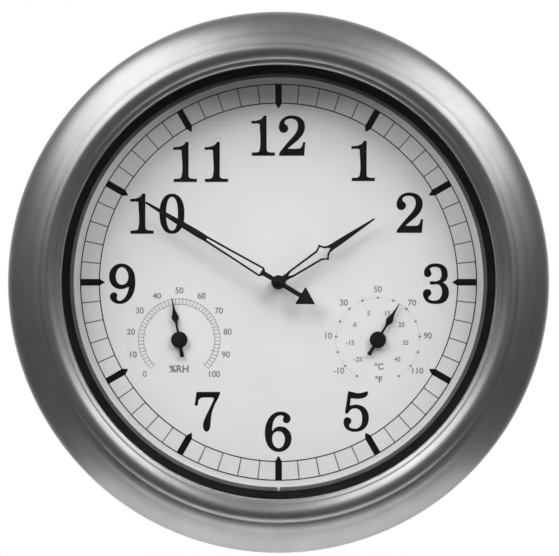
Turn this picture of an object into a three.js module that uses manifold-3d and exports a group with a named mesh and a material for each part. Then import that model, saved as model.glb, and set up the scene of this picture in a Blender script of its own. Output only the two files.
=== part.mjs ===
// Round wall clock with a radio-controlled movement, a thermometer and a hygrometer.
// Millimetres, +Z up. The clock hangs with its back on the plane y = 0 and its face towards -Y.
// The origin is the nail that carries it: the top of the keyhole slot, in the plane of the wall.
// A depth is a distance forward of the wall, so a depth d lies at y = -d.
// An inset is a distance behind the front face of the movement.
import * as THREE from "three";
import { mergeVertices } from "three/addons/utils/BufferGeometryUtils.js";
import Module from "manifold-3d";

const wasm = await Module();
wasm.setup();

// Clearances
const CONTACT = 0.2; // between flat faces that rest on each other
const FIT = 0.3; // round a piece that sits or turns in a hole
const OVERRUN = 2; // how far a cutting shape runs past the face that it cuts
const EMBED = 0.4; // how far one part of a piece reaches into the next, so that they join

// Facets
const RING_SIDES = 48;
const ROUND_SIDES = 24;
const SMALL_SIDES = 12;
const HEX_SIDES = 6;

// Dial, ring and lens
const DIAL_VISIBLE_RADIUS = 173.2;
const DIAL_THICKNESS = 0.8;
const RING_LIP = 3.4; // flat edge of the black ring, lying on the dial
const RING_LIP_HEIGHT = 1.2;
const RING_SLOPE = 6.3; // width of the black slope from the lip to the lens
const RING_NOTCH = 2.6; // width of the notch at six
const LENS_OVERLAP = 4.7; // how far the lens reaches behind the frame's lip
const LENS_THICKNESS = 2.5;
const LENS_CLEARANCE = 2; // from the hand nut to the lens
const GASKET_THICKNESS = 1;
const GASKET_WIDTH = 3.6;

// Frame
const FRAME_WIDTH = 45.7;
const FRAME_WALL = 3;
const LIP_THICKNESS = 3.2;
const CREST_RISE = 8.4; // from the lip's face to the crest
const SIDE_DRAFT = 2.1; // how much narrower the frame is at the wall
const SKIRT_WALL = 2; // the ring inside the frame that the lens drops into
const SKIRT_SETBACK = 2.4; // from the front of the dial plate to the skirt
// The front of the frame from the lip to the widest line of its side: shares of its width, then of the rise.
const FRAME_FRONT_SHARES = [
  [0, 0], [0.028, 0.2], [0.098, 0.38], [0.125, 0.67], [0.182, 0.87], [0.232, 0.98], [0.287, 1], [0.372, 0.89],
  [0.47, 0.6], [0.602, 0.36], [0.731, -0.01], [0.818, -0.31], [0.895, -0.64], [0.96, -1.02], [0.99, -1.31],
  [1, -1.62],
];
// The hollow behind that front passes the inner bead, the crest, the case screws and the fall of the side.
const OVER_SCREWS_SHARES = [0.494, 0.55];
const FRAME_HOLLOW_SHARES = [
  [0.182, 0.87], [0.287, 1], [0.372, 0.89], OVER_SCREWS_SHARES, [0.72, 0.05], [0.87, -0.5],
];

// Rear case and its screws
const PANEL = 2;
const FLANGE_SETBACK = 8; // the flange's back, from the wall
const FLANGE_FIT = 2.4; // from the flange to the frame's rear rim
const CASE_SCREWS = 6;
const BOSS_RADIUS = 4.5;
const SCREW_RADIUS = 1.5;
const SCREW_HEAD_RADIUS = 3.2;
const SCREW_HEAD = 1.8;
const SCREW_REACH = 9; // thread beyond the flange
const SCREW_SLOT = 0.9;
const RIBS = 12;
const RIB_WIDTH = 1.6;
const RIB_HEIGHT = 3;
const RIB_START = 62;

// Hanger
const KEY_RADIUS = 5.2;
const KEY_DROP = 10.5; // from the top of the slot to the centre of the round hole
const SLOT_RADIUS = 2.6;
const HANGER_SETBACK = 2;
const HANGER_THICKNESS = 1.2;
const HANGER_WIDTH = 46;
const HANGER_MARGIN = 5;
const HANGER_SCREW_RADIUS = 1.1;
const HANGER_HEAD_RADIUS = 2.4;
const HANGER_HEAD = 1;
const HANGER_SCREW_REACH = 6.2;
const SPACER_WIDTH = 11;

// Movement case, seen from the front with the hands' shaft at x = 0, z = 0
const REAR_CLEARANCE = 1.5; // from the wall to the movement
const CASE_WALL = 1.5;
const CASE_TOP = 29; // above the shaft
const SIDE_BLOCK = 8; // beside each end of the battery bay
const BATTERY_RADIUS = 7.25;
const BATTERY_LENGTH = 49;
const NUB_RADIUS = 2.75;
const NUB_LENGTH = 1.5;
const BAY_FIT = 0.5;
const CONTACT_ROOM = 3.2; // at each end of the battery
const CONTACT_PLATE = 0.5;
const CONTACT_WIDTH = 9;
const SPRING_RADIUS = 3.6;
const CUSHION_THICKNESS = 0.8;
const CUSHION_RADIUS = 16;
const BUSH_RADIUS = 4;
const BUSH_PROUD = 0.6; // beyond the nut
const WASHER_RADIUS = 6;
const WASHER_THICKNESS = 0.6;
const NUT_RADIUS = 6;
const NUT_THICKNESS = 2.2;

// Gear train
const LAYER_GAP = 0.6;
const WHEEL_THICKNESS = 0.8;
const HOUR_MODULE = 0.48;
const MOTION_MODULE = 0.5;
const MINUTE_MODULE = 0.4;
const THIRD_MODULE = 0.35;
const HOUR_TEETH = 40;
const MOTION_PINION_TEETH = 10;
const MOTION_TEETH = 36;
const CANNON_TEETH = 12;
const MINUTE_TEETH = 64;
const THIRD_PINION_TEETH = 8;
const THIRD_TEETH = 60;
const ROTOR_PINION_TEETH = 8;
const ADDENDUM_SHARE = 0.7; // of the module
const DEDENDUM_SHARE = 1.15;
const TIP_WIDTH_SHARE = 0.16; // of the pitch
const ROOT_WIDTH_SHARE = 0.5;
const MOTION_DIRECTION = THREE.MathUtils.degToRad(150);
const THIRD_DIRECTION = THREE.MathUtils.degToRad(20);
const ROTOR_DIRECTION = THREE.MathUtils.degToRad(-40);
// From the motion wheel's, the third wheel's and the minute wheel's axes, to the posts beside them.
const POST_DIRECTIONS = [205, 15, -97].map((angle) => THREE.MathUtils.degToRad(angle));
const ARBOR_RADIUS = 1.6; // carries the minute hand
const TUBE_WALL = 0.85; // of the hour hand's tube
const STUD_RADIUS = 1;
const PIVOT_RADIUS = 0.6;
const BEARING_RADIUS = 1.9;
const BEARING_HEIGHT = 1;
const MAGNET_RADIUS = 3.5;
const MAGNET_HEIGHT = 2;
const BRIDGE_THICKNESS = 1;
const BRIDGE_MARGIN = 4;
const POST_RADIUS = 1.5;
const POST_CLEARANCE = 1.5;

// Motor, receiver and controls
const STATOR_THICKNESS = 1;
const STATOR_SIDE = 7; // from the rotor's axis to each edge
const STATOR_DROP = 12; // from the rotor's axis to the coil's core
const CORE_HALF = 1.5;
const COIL_RADIUS = 2.7;
const COIL_LENGTH = 9;
const BOARD_THICKNESS = 1;
const BOARD_MARGIN = 2;
const BOARD_TOP = 15.5;
const CHIP_SIZE = 7;
const CHIP_HEIGHT = 0.9;
const CRYSTAL_RADIUS = 0.9;
const CRYSTAL_LENGTH = 6;
const ROD_RADIUS = 2.4;
const ROD_LENGTH = 60;
const ROD_HEIGHT = 21.6; // above the shaft
const ROD_INSET = 8;
const ANTENNA_COIL_RADIUS = 4;
const ANTENNA_COIL_LENGTH = 26;
const CRADLE_WIDTH = 3;
const CRADLE_OFFSET = 24;
const BUTTON_RADIUS = 2.4;
const BUTTON_PROUD = 0.8;
const COLLAR_WIDTH = 0.8;
const COLLAR_HEIGHT = 0.7;
const NOSE_RADIUS = 1.2;
const NOSE_HEIGHT = 0.5;
const BUTTON_COLUMN = -25;
const BUTTON_PITCH = 9.5;
const SLIDER_PLACE = new THREE.Vector2(15, -6);
const SLIDER_TRAVEL = 6;
const KNOB_SIZE = 3;
const SLIDER_BASE_MARGIN = 1.6;

// Thermometer and hygrometer
const INSTRUMENT_ASIDE = 84; // from the shaft
const INSTRUMENT_DROP = 48.6;
const HOUSING_RADIUS = 15;
const HOUSING_WALL = 1;
const HOUSING_DEPTH = 9;
const HOUSING_FLANGE = 3;
const SPIRAL_TURNS = 3.5;
const SPIRAL_STEPS = 14; // for each turn
const SPIRAL_INNER = 3;
const SPIRAL_STRIP = 0.5;
const SPIRAL_HEIGHT = 3;
const SPINDLE_RADIUS = 0.8;
const SPINDLE_COLLAR = 1.6;
const INSTRUMENT_BRIDGE_WIDTH = 6;
const INSTRUMENT_BRIDGE_THICKNESS = 1;
const POINTER_LIFT = 1.2; // above the dial
const POINTER_THICKNESS = 0.5;
const POINTER_LENGTH = 35.5;
const POINTER_BEAD_HALF = 3.1;
const POINTER_TAIL = 15;
const POINTER_TAIL_HALF = 1.8;
const POINTER_HUB_RADIUS = 7;
const POINTER_HUB_HEIGHT = 1.6;
const HYGROMETER_READING = THREE.MathUtils.degToRad(-10.2); // clockwise from the top of the scale
const THERMOMETER_READING = THREE.MathUtils.degToRad(30.9);
// Half of a pointer from the hub to the tip: shares of its length, then of the bead's half width.
const POINTER_SHARES = [
  [0, 0.33], [0.4, 0.33], [0.47, 0.75], [0.54, 1], [0.63, 0.72], [0.8, 0.28], [1, 0.1],
];
const POINTER_TAIL_SHARES = [[0, 0.5], [1, 1]];

// Hands
const HAND_THICKNESS = 0.6;
const HAND_GAP = 0.6;
const HAND_HUB_HEIGHT = 1.6;
const HAND_HUB_RADIUS = 6.1;
const HAND_FIT = 0.1; // the hands are pressed on
const HOUR_HAND_LENGTH = 97.3;
const HOUR_HAND_HALF = 8; // half width across the star
const MINUTE_HAND_LENGTH = 131;
const MINUTE_HAND_HALF = 4.4; // half width at the shoulders
const TAIL_HALF = 2;
const ARROW_START = 21.4;
const ARROW_LENGTH = 14.8;
const ARROW_HALF = 8.6;
const HAND_NUT_RADIUS = 3.2;
const HAND_NUT_HEIGHT = 2;
const HOUR_READING = THREE.MathUtils.degToRad(56.5); // clockwise from twelve
const MINUTE_READING = THREE.MathUtils.degToRad(-59);
// Half outlines from the hub to the tip: shares of the length, then of the half width.
const HOUR_OUTLINE_SHARES = [
  [0, 0.34], [0.1, 0.34], [0.13, 0.41], [0.42, 0.6], [0.45, 0.78], [0.472, 1], [0.49, 0.64],
  [0.515, 0.4], [0.55, 0.34], [0.65, 0.31], [1, 0.09],
];
const HOUR_WINDOW_SHARES = [
  [0.105, 0.04], [0.14, 0.2], [0.425, 0.38], [0.467, 0.7], [0.49, 0.34], [0.535, 0.04],
];
const MINUTE_OUTLINE_SHARES = [
  [0, 0.46], [0.11, 0.46], [0.122, 0.84], [0.13, 1], [0.35, 0.74], [0.545, 0.58],
  [0.6, 0.66], [0.72, 0.6], [1, 0.2],
];
const MINUTE_WINDOW_SHARES = [[0.132, 0.62], [0.35, 0.36], [0.54, 0.16]];

const QUARTER_TURN = Math.PI / 2;
const FULL_TURN = 2 * Math.PI;

// Radii, from the dial outwards
const RING_SLOPE_RADIUS = DIAL_VISIBLE_RADIUS + RING_LIP;
const OPENING_RADIUS = RING_SLOPE_RADIUS + RING_SLOPE;
const LENS_RADIUS = OPENING_RADIUS + LENS_OVERLAP;
const SKIRT_INNER = LENS_RADIUS + FIT;
const SKIRT_OUTER = SKIRT_INNER + SKIRT_WALL;
const CLOCK_RADIUS = OPENING_RADIUS + FRAME_WIDTH;
const REAR_RIM_RADIUS = CLOCK_RADIUS - SIDE_DRAFT;
const FLANGE_RADIUS = REAR_RIM_RADIUS - FRAME_WALL - FLANGE_FIT;
const FLANGE_MIDDLE = (SKIRT_OUTER + FLANGE_RADIUS) / 2;
const HANGER_HEIGHT = FLANGE_MIDDLE + (KEY_DROP + KEY_RADIUS) / 2;

// Depths, from the wall forwards
const MOVEMENT_DEPTH = CASE_WALL + FIT + 2 * BATTERY_RADIUS + FIT;
const MOVEMENT_FRONT = REAR_CLEARANCE + MOVEMENT_DEPTH;
const CUSHION_BACK = MOVEMENT_FRONT + CONTACT;
const FLOOR_BACK = CUSHION_BACK + CUSHION_THICKNESS + CONTACT;
const FLOOR_FRONT = FLOOR_BACK + PANEL;
const DIAL_BACK = FLOOR_FRONT + CONTACT;
const DIAL_FRONT = DIAL_BACK + DIAL_THICKNESS;
const WASHER_BACK = DIAL_FRONT + CONTACT;
const NUT_BACK = WASHER_BACK + WASHER_THICKNESS + CONTACT;
const BUSH_FRONT = NUT_BACK + NUT_THICKNESS + BUSH_PROUD;
const HOUR_HAND_BACK = BUSH_FRONT + HAND_GAP;
const HOUR_HUB_FRONT = HOUR_HAND_BACK + HAND_HUB_HEIGHT;
const MINUTE_HAND_BACK = HOUR_HUB_FRONT + HAND_GAP;
const MINUTE_HUB_FRONT = MINUTE_HAND_BACK + HAND_HUB_HEIGHT;
const HAND_NUT_BACK = MINUTE_HUB_FRONT + CONTACT;
const HAND_NUT_FRONT = HAND_NUT_BACK + HAND_NUT_HEIGHT;
const LENS_BACK = HAND_NUT_FRONT + LENS_CLEARANCE;
const LENS_FRONT = LENS_BACK + LENS_THICKNESS;
const GASKET_BACK = LENS_FRONT + CONTACT;
const LIP_BACK = GASKET_BACK + GASKET_THICKNESS + CONTACT;
const LIP_FRONT = LIP_BACK + LIP_THICKNESS;
const FLANGE_FRONT = FLANGE_SETBACK + PANEL;

// Insets of the layers in the movement
const HOUR_INSET = CASE_WALL + LAYER_GAP;
const MOTION_INSET = HOUR_INSET + WHEEL_THICKNESS + LAYER_GAP;
const MINUTE_INSET = MOTION_INSET + WHEEL_THICKNESS + LAYER_GAP;
const THIRD_INSET = MINUTE_INSET + WHEEL_THICKNESS + LAYER_GAP;
const MAGNET_INSET = THIRD_INSET + WHEEL_THICKNESS + LAYER_GAP;
const BRIDGE_INSET = MAGNET_INSET + MAGNET_HEIGHT + LAYER_GAP;
const BOARD_INSET = BRIDGE_INSET + BRIDGE_THICKNESS + LAYER_GAP;
const COVER_INSET = MOVEMENT_DEPTH - CASE_WALL;

// Places of the axles, seen from the front
const SHAFT = new THREE.Vector2(0, 0);
const MOTION_DISTANCE = MOTION_MODULE * (MOTION_TEETH + CANNON_TEETH) / 2;
const THIRD_DISTANCE = MINUTE_MODULE * (MINUTE_TEETH + THIRD_PINION_TEETH) / 2;
const ROTOR_DISTANCE = THIRD_MODULE * (THIRD_TEETH + ROTOR_PINION_TEETH) / 2;
const MOTION_AXIS = beside(SHAFT, MOTION_DIRECTION, MOTION_DISTANCE);
const THIRD_AXIS = beside(SHAFT, THIRD_DIRECTION, THIRD_DISTANCE);
const ROTOR_AXIS = beside(THIRD_AXIS, ROTOR_DIRECTION, ROTOR_DISTANCE);
const BEARING_PLACES = [THIRD_AXIS, ROTOR_AXIS];

// Posts that carry the bridge, each just clear of a wheel
const MOTION_TIP = MOTION_MODULE * (MOTION_TEETH / 2 + ADDENDUM_SHARE);
const MINUTE_TIP = MINUTE_MODULE * (MINUTE_TEETH / 2 + ADDENDUM_SHARE);
const THIRD_TIP = THIRD_MODULE * (THIRD_TEETH / 2 + ADDENDUM_SHARE);
const POST_SPACE = POST_RADIUS + POST_CLEARANCE;
const POST_PLACES = [
  beside(MOTION_AXIS, POST_DIRECTIONS[0], MOTION_TIP + POST_SPACE),
  beside(THIRD_AXIS, POST_DIRECTIONS[1], THIRD_TIP + POST_SPACE),
  beside(SHAFT, POST_DIRECTIONS[2], MINUTE_TIP + POST_SPACE),
];

// Edges of the movement. The battery lies just below the gear train.
const BATTERY_DROP = MINUTE_TIP + POST_SPACE + BRIDGE_MARGIN + FIT + CASE_WALL + BAY_FIT + BATTERY_RADIUS;
const BAY_HALF = BATTERY_LENGTH / 2 + CONTACT_ROOM;
const CASE_HALF = BAY_HALF + SIDE_BLOCK + CASE_WALL;
const BAY_TOP = -BATTERY_DROP + BATTERY_RADIUS + BAY_FIT;
const BAY_BOTTOM = -BATTERY_DROP - BATTERY_RADIUS - BAY_FIT;
const CASE_BOTTOM = BAY_BOTTOM - CASE_WALL;
const CHAMBER_BOTTOM = BAY_TOP + CASE_WALL;
const TUBE_INNER = ARBOR_RADIUS + FIT;
const TUBE_OUTER = TUBE_INNER + TUBE_WALL;
const BUSH_BORE = TUBE_OUTER + FIT;

// Places and solids

function beside(place, direction, distance) {
  const offset = new THREE.Vector2(Math.cos(direction), Math.sin(direction));
  return place.clone().addScaledVector(offset, distance);
}

// A closed solid from a geometry: equal corners are merged and flat slivers at an axis left out.
function solidOf(shape) {
  if (!shape.isBufferGeometry) return shape;
  const bare = shape.clone();
  bare.deleteAttribute("normal");
  bare.deleteAttribute("uv");
  const merged = mergeVertices(bare);
  const corners = [];
  const index = merged.index.array;
  for (let i = 0; i < index.length; i += 3) {
    const [a, b, c] = [index[i], index[i + 1], index[i + 2]];
    if (a !== b && b !== c && c !== a) corners.push(a, b, c);
  }
  const vertProperties = merged.attributes.position.array;
  return new wasm.Manifold(new wasm.Mesh({ numProp: 3, vertProperties, triVerts: new Uint32Array(corners) }));
}

function join(...shapes) {
  return shapes.map(solidOf).reduce((whole, shape) => whole.add(shape));
}

function cut(shape, ...tools) {
  return tools.map(solidOf).reduce((whole, tool) => whole.subtract(tool), solidOf(shape));
}

function geometryOf(shape) {
  const mesh = solidOf(shape).getMesh();
  const geometry = new THREE.BufferGeometry();
  geometry.setAttribute("position", new THREE.BufferAttribute(mesh.vertProperties.slice(), 3));
  geometry.setIndex(new THREE.BufferAttribute(mesh.triVerts.slice(), 1));
  geometry.computeVertexNormals();
  return geometry;
}

// A plate drawn in the plane of the dial, x to the right and z up, between two depths.
function plate(outline, back, front) {
  const settings = { depth: front - back, bevelEnabled: false };
  return new THREE.ExtrudeGeometry(outline, settings).rotateX(QUARTER_TURN).translate(0, -back, 0);
}

function block(left, right, bottom, top, back, front) {
  return new THREE.BoxGeometry(right - left, front - back, top - bottom)
    .translate((left + right) / 2, -(back + front) / 2, (bottom + top) / 2);
}

function disc(place, radius, back, front, sides = ROUND_SIDES) {
  return new THREE.CylinderGeometry(radius, radius, front - back, sides)
    .translate(place.x, -(back + front) / 2, place.y);
}

// A round cutting shape that runs past both faces of what it cuts.
function hole(place, radius, back, front, sides = SMALL_SIDES) {
  return disc(place, radius, back - OVERRUN, front + OVERRUN, sides);
}

// A cylinder that lies along x, at a height and a depth.
function bar(left, right, radius, height, depth, sides = ROUND_SIDES) {
  return new THREE.CylinderGeometry(radius, radius, right - left, sides)
    .rotateZ(QUARTER_TURN)
    .translate((left + right) / 2, -depth, height);
}

// A solid of revolution about the shaft, from an outline of radii and depths.
function turned(outline, sides = RING_SIDES) {
  const points = outline.map(([radius, depth]) => new THREE.Vector2(radius, -depth));
  if (THREE.ShapeUtils.area(points) < 0) points.reverse();
  return new THREE.LatheGeometry([...points, points[0]], sides);
}

function tube(place, inner, outer, back, front, sides = ROUND_SIDES) {
  return turned([[inner, back], [outer, back], [outer, front], [inner, front]], sides)
    .translate(place.x, 0, place.y);
}

function polygon(points) {
  return new THREE.Shape(points.map(([x, y]) => new THREE.Vector2(x, y)));
}

// A long flat outline along +x, symmetric about the x axis, from shares of a length and a half width.
function tapered(shares, length, half) {
  const upper = shares.map(([along, across]) => [along * length, across * half]);
  const lower = upper.map(([x, y]) => [x, -y]).reverse();
  return polygon([...upper, ...lower]);
}

// A reading clockwise from twelve, as a turn of the x axis.
function pointingTo(reading) {
  return QUARTER_TURN - reading;
}

// Gears

// A wheel's outline of straight-sided teeth, with a tooth at the angle "turn".
function gearOutline(module, teeth, turn) {
  const pitchRadius = module * teeth / 2;
  const tip = pitchRadius + module * ADDENDUM_SHARE;
  const root = pitchRadius - module * DEDENDUM_SHARE;
  const pitch = FULL_TURN / teeth;
  const points = [];
  for (let tooth = 0; tooth < teeth; tooth += 1) {
    const middle = turn + tooth * pitch;
    for (const [radius, offset] of [
      [root, -ROOT_WIDTH_SHARE], [tip, -TIP_WIDTH_SHARE], [tip, TIP_WIDTH_SHARE], [root, ROOT_WIDTH_SHARE],
    ]) {
      const angle = middle + offset * pitch / 2;
      points.push([radius * Math.cos(angle), radius * Math.sin(angle)]);
    }
  }
  return polygon(points);
}

function gear(place, module, teeth, turn, back, front) {
  return plate(gearOutline(module, teeth, turn), back, front).translate(place.x, 0, place.y);
}

// The turn of a wheel whose teeth fall in the gaps of another, met in a given direction.
function meshedTurn(turn, teeth, otherTeeth, direction) {
  return direction + Math.PI - (turn - direction) * teeth / otherTeeth + Math.PI / otherTeeth;
}

const CANNON_TURN = 0;
const MINUTE_TURN = 0;
const MOTION_TURN = meshedTurn(CANNON_TURN, CANNON_TEETH, MOTION_TEETH, MOTION_DIRECTION);
const MOTION_PINION_TURN = 0;
const HOUR_DIRECTION = MOTION_DIRECTION + Math.PI;
const HOUR_TURN = meshedTurn(MOTION_PINION_TURN, MOTION_PINION_TEETH, HOUR_TEETH, HOUR_DIRECTION);
const THIRD_PINION_TURN = meshedTurn(MINUTE_TURN, MINUTE_TEETH, THIRD_PINION_TEETH, THIRD_DIRECTION);
const THIRD_TURN = 0;
const ROTOR_TURN = meshedTurn(THIRD_TURN, THIRD_TEETH, ROTOR_PINION_TEETH, ROTOR_DIRECTION);

// Depth of a place in the movement, from its inset.
function inside(inset) {
  return MOVEMENT_FRONT - inset;
}

// Frame, lens and dial

function framePoints(shares) {
  return shares.map(([across, rise]) => [OPENING_RADIUS + across * FRAME_WIDTH, LIP_FRONT + rise * CREST_RISE]);
}

function frameBosses() {
  const [[, frontHere]] = framePoints([OVER_SCREWS_SHARES]);
  const pilotEnd = FLANGE_FRONT + SCREW_REACH + FIT;
  return screwPlaces().map((place) => cut(
    disc(place, BOSS_RADIUS, FLANGE_FRONT + CONTACT, frontHere - FRAME_WALL / 2, SMALL_SIDES),
    disc(place, SCREW_RADIUS + FIT, FLANGE_FRONT - OVERRUN, pilotEnd, SMALL_SIDES),
  ));
}

function bezel() {
  const front = framePoints(FRAME_FRONT_SHARES);
  const widest = front.at(-1)[1];
  const hollow = framePoints(FRAME_HOLLOW_SHARES).map(([radius, depth]) => [radius, depth - FRAME_WALL]);
  const outline = [
    ...front,
    [REAR_RIM_RADIUS, 0],
    [REAR_RIM_RADIUS - FRAME_WALL, 0],
    [CLOCK_RADIUS - FRAME_WALL, widest],
    ...hollow.reverse(),
    [SKIRT_OUTER, LIP_BACK],
    [SKIRT_OUTER, FLOOR_FRONT + SKIRT_SETBACK],
    [SKIRT_INNER, FLOOR_FRONT + SKIRT_SETBACK],
    [SKIRT_INNER, LIP_BACK],
    [OPENING_RADIUS, LIP_BACK],
  ];
  return join(turned(outline), ...frameBosses());
}

function lens() {
  return disc(SHAFT, LENS_RADIUS, LENS_BACK, LENS_FRONT, RING_SIDES);
}

function lensGasket() {
  const front = GASKET_BACK + GASKET_THICKNESS;
  return tube(SHAFT, LENS_RADIUS - GASKET_WIDTH, LENS_RADIUS, GASKET_BACK, front, RING_SIDES);
}

function dialRing() {
  const back = DIAL_FRONT + CONTACT;
  const ring = turned([
    [DIAL_VISIBLE_RADIUS, back],
    [LENS_RADIUS, back],
    [LENS_RADIUS, LENS_BACK - CONTACT],
    [OPENING_RADIUS, LENS_BACK - CONTACT],
    [RING_SLOPE_RADIUS, back + RING_LIP_HEIGHT],
    [DIAL_VISIBLE_RADIUS, back + RING_LIP_HEIGHT],
  ]);
  const notch = block(
    -RING_NOTCH / 2, RING_NOTCH / 2, -RING_SLOPE_RADIUS, -DIAL_VISIBLE_RADIUS + OVERRUN,
    back - OVERRUN, back + RING_LIP_HEIGHT + OVERRUN,
  );
  return cut(ring, notch);
}

function dial() {
  const face = disc(SHAFT, LENS_RADIUS, DIAL_BACK, DIAL_FRONT, RING_SIDES);
  const shaftHole = hole(SHAFT, BUSH_RADIUS + FIT, DIAL_BACK, DIAL_FRONT, ROUND_SIDES);
  return cut(face, shaftHole, ...spindleHoles(DIAL_BACK, DIAL_FRONT));
}

// Rear case and hanger

function instrumentPlaces() {
  return [-INSTRUMENT_ASIDE, INSTRUMENT_ASIDE].map((aside) => new THREE.Vector2(aside, -INSTRUMENT_DROP));
}

function spindleHoles(back, front) {
  return instrumentPlaces().map((place) => hole(place, SPINDLE_COLLAR + FIT, back, front));
}

function screwPlaces() {
  const places = [];
  for (let screw = 0; screw < CASE_SCREWS; screw += 1) {
    places.push(beside(SHAFT, FULL_TURN * screw / CASE_SCREWS, FLANGE_MIDDLE));
  }
  return places;
}

function hangerScrewPlaces() {
  const aside = (HANGER_WIDTH - SPACER_WIDTH) / 2;
  return [-aside, aside].map((x) => new THREE.Vector2(x, HANGER_HEIGHT - (KEY_DROP + KEY_RADIUS) / 2));
}

// The plate behind the dial, which lies on the front edge of the rear case's wall.
function dialPlate() {
  const [ribBack, ribFront] = [FLOOR_BACK - RIB_HEIGHT, FLOOR_BACK + EMBED];
  const ribEnd = SKIRT_OUTER - PANEL - FIT;
  const ribs = [];
  for (let rib = 0; rib < RIBS; rib += 1) {
    const angle = FULL_TURN * (rib + 0.5) / RIBS;
    const strip = block(RIB_START, ribEnd, -RIB_WIDTH / 2, RIB_WIDTH / 2, ribBack, ribFront);
    ribs.push(strip.rotateY(angle));
  }
  const floor = disc(SHAFT, SKIRT_OUTER, FLOOR_BACK, FLOOR_FRONT, RING_SIDES);
  const shaftHole = hole(SHAFT, BUSH_RADIUS + FIT, FLOOR_BACK, FLOOR_FRONT, ROUND_SIDES);
  return cut(join(floor, ...ribs), shaftHole, ...spindleHoles(FLOOR_BACK, FLOOR_FRONT));
}

function rearCase() {
  const wallInner = SKIRT_OUTER - PANEL;
  const wallFront = FLOOR_BACK - CONTACT;
  const ring = turned([
    [wallInner, wallFront],
    [wallInner, FLANGE_SETBACK],
    [FLANGE_RADIUS, FLANGE_SETBACK],
    [FLANGE_RADIUS, FLANGE_FRONT],
    [SKIRT_OUTER, FLANGE_FRONT],
    [SKIRT_OUTER, wallFront],
  ]);
  const screwHoles = screwPlaces().map((place) => hole(
    place, SCREW_RADIUS + FIT, FLANGE_SETBACK, FLANGE_FRONT,
  ));
  const hangerHoles = hangerScrewPlaces().map((place) => hole(
    place, HANGER_SCREW_RADIUS + FIT, FLANGE_SETBACK, FLANGE_FRONT,
  ));
  return cut(ring, ...screwHoles, ...hangerHoles);
}

// A screw driven forwards: its head's back face at one depth, its tip at another.
function screw(place, headRadius, headHeight, radius, back, tip) {
  const head = disc(place, headRadius, back, back + headHeight, SMALL_SIDES);
  const shank = disc(place, radius, back + headHeight - EMBED, tip, SMALL_SIDES);
  const slot = block(
    place.x - headRadius - OVERRUN, place.x + headRadius + OVERRUN,
    place.y - SCREW_SLOT / 2, place.y + SCREW_SLOT / 2, back - OVERRUN, back + headHeight / 2,
  );
  return cut(join(head, shank), slot);
}

function caseScrew(place) {
  const back = FLANGE_SETBACK - CONTACT - SCREW_HEAD;
  return screw(place, SCREW_HEAD_RADIUS, SCREW_HEAD, SCREW_RADIUS, back, FLANGE_FRONT + SCREW_REACH);
}

function hangerScrew(place) {
  const back = HANGER_SETBACK - CONTACT - HANGER_HEAD;
  const tip = HANGER_SETBACK + HANGER_THICKNESS + HANGER_SCREW_REACH;
  return screw(place, HANGER_HEAD_RADIUS, HANGER_HEAD, HANGER_SCREW_RADIUS, back, tip);
}

// A block that holds the hanger plate off the flange, so that a nail's head has room between them.
function hangerSpacer(place) {
  const half = SPACER_WIDTH / 2;
  const [back, front] = [HANGER_SETBACK + HANGER_THICKNESS + CONTACT, FLANGE_SETBACK - CONTACT];
  const body = block(place.x - half, place.x + half, place.y - half, place.y + half, back, front);
  return cut(body, hole(place, HANGER_SCREW_RADIUS + FIT, back, front));
}

function hangerPlate() {
  const half = HANGER_WIDTH / 2;
  const top = HANGER_HEIGHT + HANGER_MARGIN;
  const holeHeight = HANGER_HEIGHT - KEY_DROP;
  const bottom = holeHeight - KEY_RADIUS - HANGER_MARGIN;
  const front = HANGER_SETBACK + HANGER_THICKNESS;
  const sheet = block(-half, half, bottom, top, HANGER_SETBACK, front);
  const slotTop = HANGER_HEIGHT - SLOT_RADIUS;
  const tools = [
    hole(new THREE.Vector2(0, holeHeight), KEY_RADIUS, HANGER_SETBACK, front, ROUND_SIDES),
    hole(new THREE.Vector2(0, slotTop), SLOT_RADIUS, HANGER_SETBACK, front),
    block(-SLOT_RADIUS, SLOT_RADIUS, holeHeight, slotTop, HANGER_SETBACK - OVERRUN, front + OVERRUN),
    ...hangerScrewPlaces().map((place) => hole(place, HANGER_SCREW_RADIUS + FIT, HANGER_SETBACK, front)),
  ];
  return cut(sheet, ...tools);
}

// Movement case

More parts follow.
